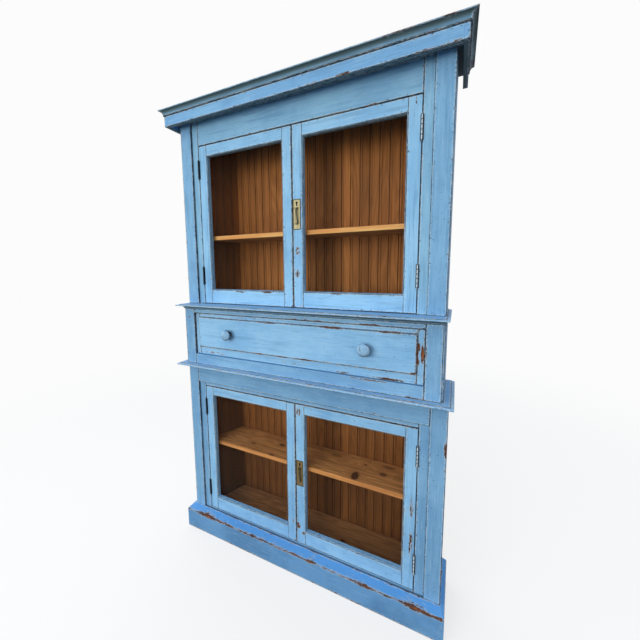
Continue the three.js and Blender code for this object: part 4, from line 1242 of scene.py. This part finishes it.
upper_door_paint = blue_paint("upper_door_paint", (139, 195, 237), (159, 212, 247), upper_door_spots)
base_door_paint = blue_paint("base_door_paint", (132, 187, 231), (153, 206, 243), base_door_spots, 0.08)
sash_paint = blue_paint("sash_paint", (144, 194, 230), (160, 210, 242))
upper_door = (upper_opening, upper_face, (1.2385, 1.99), (0.05, 0.054), (0.137, 0.108), upper_door_paint)
base_door = (base_opening, base_face, (0.1105, 0.801), (0.0485, 0.049), (0.118, 0.112), base_door_paint)
for side in ("left", "right"):
    add_door("upper", side, *upper_door)
    add_door("base", side, *base_door)


# Lock plates: stamped brass with a raised rim, a boss round the keyhole, a screw below, and a cast drop
# pull on a pin between two lugs. Aged brass, nearly black in the recesses.

brass, start = new_material("aged_brass")
place, arris = start.place(), start.on_mesh("arris")
stain = place.noise(230, 3)
upper_plate = place.part("z").rise(0.9, 1.1)
metal = upper_plate.tint(rgb(134, 112, 68), rgb(206, 194, 148))
# The brass goes dark with tarnish spots, with patina on its rims and in its recesses, and with painted shade
# where it turns away from the front and on the strip behind the pull.
sideways = 1 + start.node("TexCoord", out=1).part("y")
grime_and_shade = (stain.rise(0.5, 0.66) * 0.4).larger(arris.rise(0.4, 1.0) * 0.92)
grime_and_shade = grime_and_shade.larger(sideways.rise(0.08, 0.4) * 0.9)
finish = {
    "Base Color": grime_and_shade.tint(metal, rgb(42, 44, 26)),
    "Metallic": 0.45 - grime_and_shade * 0.4,
    "Roughness": 0.4 + grime_and_shade * 0.3,
    "Normal": stain.bump(0.3, 0.0004),
}
start.surface(finish)
# The keyhole is a dark insert: painted shade in the hole.
dark_hole, start = new_material("keyhole_dark")
hole_shade = start.place().noise(300, 2)
start.surface({"Base Color": hole_shade.tint(rgb(10, 9, 6), rgb(30, 25, 15)), "Roughness": 0.9})


to_right = (1, 0, 0)


def add_lock(section, face, middle_z):
    """A lock plate on the right door of a section, with its keyhole and its hanging pull."""
    plate_x = 0.02075
    body = f"{section}_right_door"
    half_w, half_h, thick = 0.018, 0.0625, 0.0015
    front = face - thick

    def rim_station(sx, sz):
        return lambda u, v: (plate_x + sx * (half_w - u), v, middle_z + sz * (half_h - u))

    rim = [(0, face, 1.0), (0, front + 0.0003, 1.0), (0.003, front, 1.0), (0.0036, front, 0.3)]
    rim += [(0.004, front, 0.2), (0.0043, front + 0.0006, 0.4), (0.0046, face, 0.4)]
    corners = [rim_station(*signs) for signs in ((-1, -1), (1, -1), (1, 1), (-1, 1))]
    panel_low = (plate_x - half_w + 0.0028, front + 0.0005, middle_z - half_h + 0.0028)
    panel_high = (plate_x + half_w - 0.0028, face, middle_z + half_h - 0.0028)
    panel = even_box(panel_low, panel_high, along_z, 0.0, 0.0002)
    forms = [sweep_form(rim, corners, along_z, ring=True), panel]
    panel_face = front + 0.0005
    # A dark strip on the plate behind the pull: the pull's painted shadow.
    pull_shadow_low = (plate_x - 0.0085, panel_face - 0.0002, middle_z - 0.04)
    pull_shadow_high = (plate_x + 0.0085, panel_face + 0.0004, middle_z + 0.03)
    forms.append(even_box(pull_shadow_low, pull_shadow_high, along_z, 0.66))
    boss = [(0.0072, 0.0), (0.0072, 0.0005), (0.0064, 0.0009), (0.0052, 0.0009), (0.0046, 0.0004)]
    forms.append(turned_form(boss, (plate_x, panel_face, middle_z + 0.047), to_front, 32))
    screw = [(0.003, 0.0), (0.003, 0.0003), (0.0024, 0.0008), (0.0004, 0.001)]
    forms.append(turned_form(screw, (plate_x, panel_face, middle_z - 0.054), to_front))
    axis_y, axis_z = front - 0.007, middle_z + 0.024
    for sign in (-1, 1):
        low = (plate_x + sign * 0.0034 - (0.0025 if sign < 0 else 0), axis_y - 0.0026, axis_z - 0.003)
        high = (low[0] + 0.0025, panel_face, axis_z + 0.003)
        forms.append(box_form(low, high, along_z, 0.0009))
    pin = [(0.0004, -0.0059), (0.0013, -0.0057), (0.0013, 0.0057), (0.0004, 0.0059)]
    forms.append(turned_form(pin, (plate_x, axis_y, axis_z), to_right, 16))
    plate = add_piece(f"{section}_lock_plate_brass", forms, brass, body)
    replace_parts(plate, f"{section}_lock_plate")

    hole = [(0.005, 0.0), (0.005, 0.00045), (0.0004, 0.0005)]
    slot_low = (plate_x - 0.0026, panel_face - 0.0011, middle_z + 0.0345)
    slot_high = (plate_x + 0.0026, panel_face, middle_z + 0.0455)
    slot_box = box_form(slot_low, slot_high, along_z, 0.0002)
    bore = turned_form(hole, (plate_x, panel_face - 0.0006, middle_z + 0.047), to_front)
    add_piece(f"{section}_keyhole", [bore, slot_box], dark_hole, body)

    pull = [(0.0018, -0.0015), (0.0018, -0.0165), (0.0026, -0.0185), (0.0018, -0.0205), (0.0021, -0.027)]
    pull += [(0.0028, -0.0345), (0.0036, -0.0425), (0.0044, -0.05), (0.0049, -0.056), (0.0048, -0.0605)]
    pull += [(0.0041, -0.0637), (0.0028, -0.0654), (0.0012, -0.066)]
    eye = [(0.0026, -0.003), (0.0032, -0.0024), (0.0032, 0.0024), (0.0026, 0.003)]
    shares = [1.0, 1.0, 0.8, 1.0, 0.8, 0.7, 0.66, 0.62, 0.6, 0.62, 0.8, 1.0, 1.0]
    drop_form = turned_form(pull, (plate_x, axis_y, axis_z), to_top, arris=shares)
    flattened = [Vector((plate_x + (point.x - plate_x) * 1.4, point.y, point.z)) for point in drop_form[0]]
    forms = [(flattened, *drop_form[1:]), turned_form(eye, (plate_x, axis_y, axis_z), to_right)]
    drop = add_piece(f"{section}_drop_pull_brass", forms, brass, f"{section}_pull")
    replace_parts(drop, f"{section}_drop_pull")


add_lock("upper", upper_face, 1.632)
add_lock("base", base_face, 0.468)
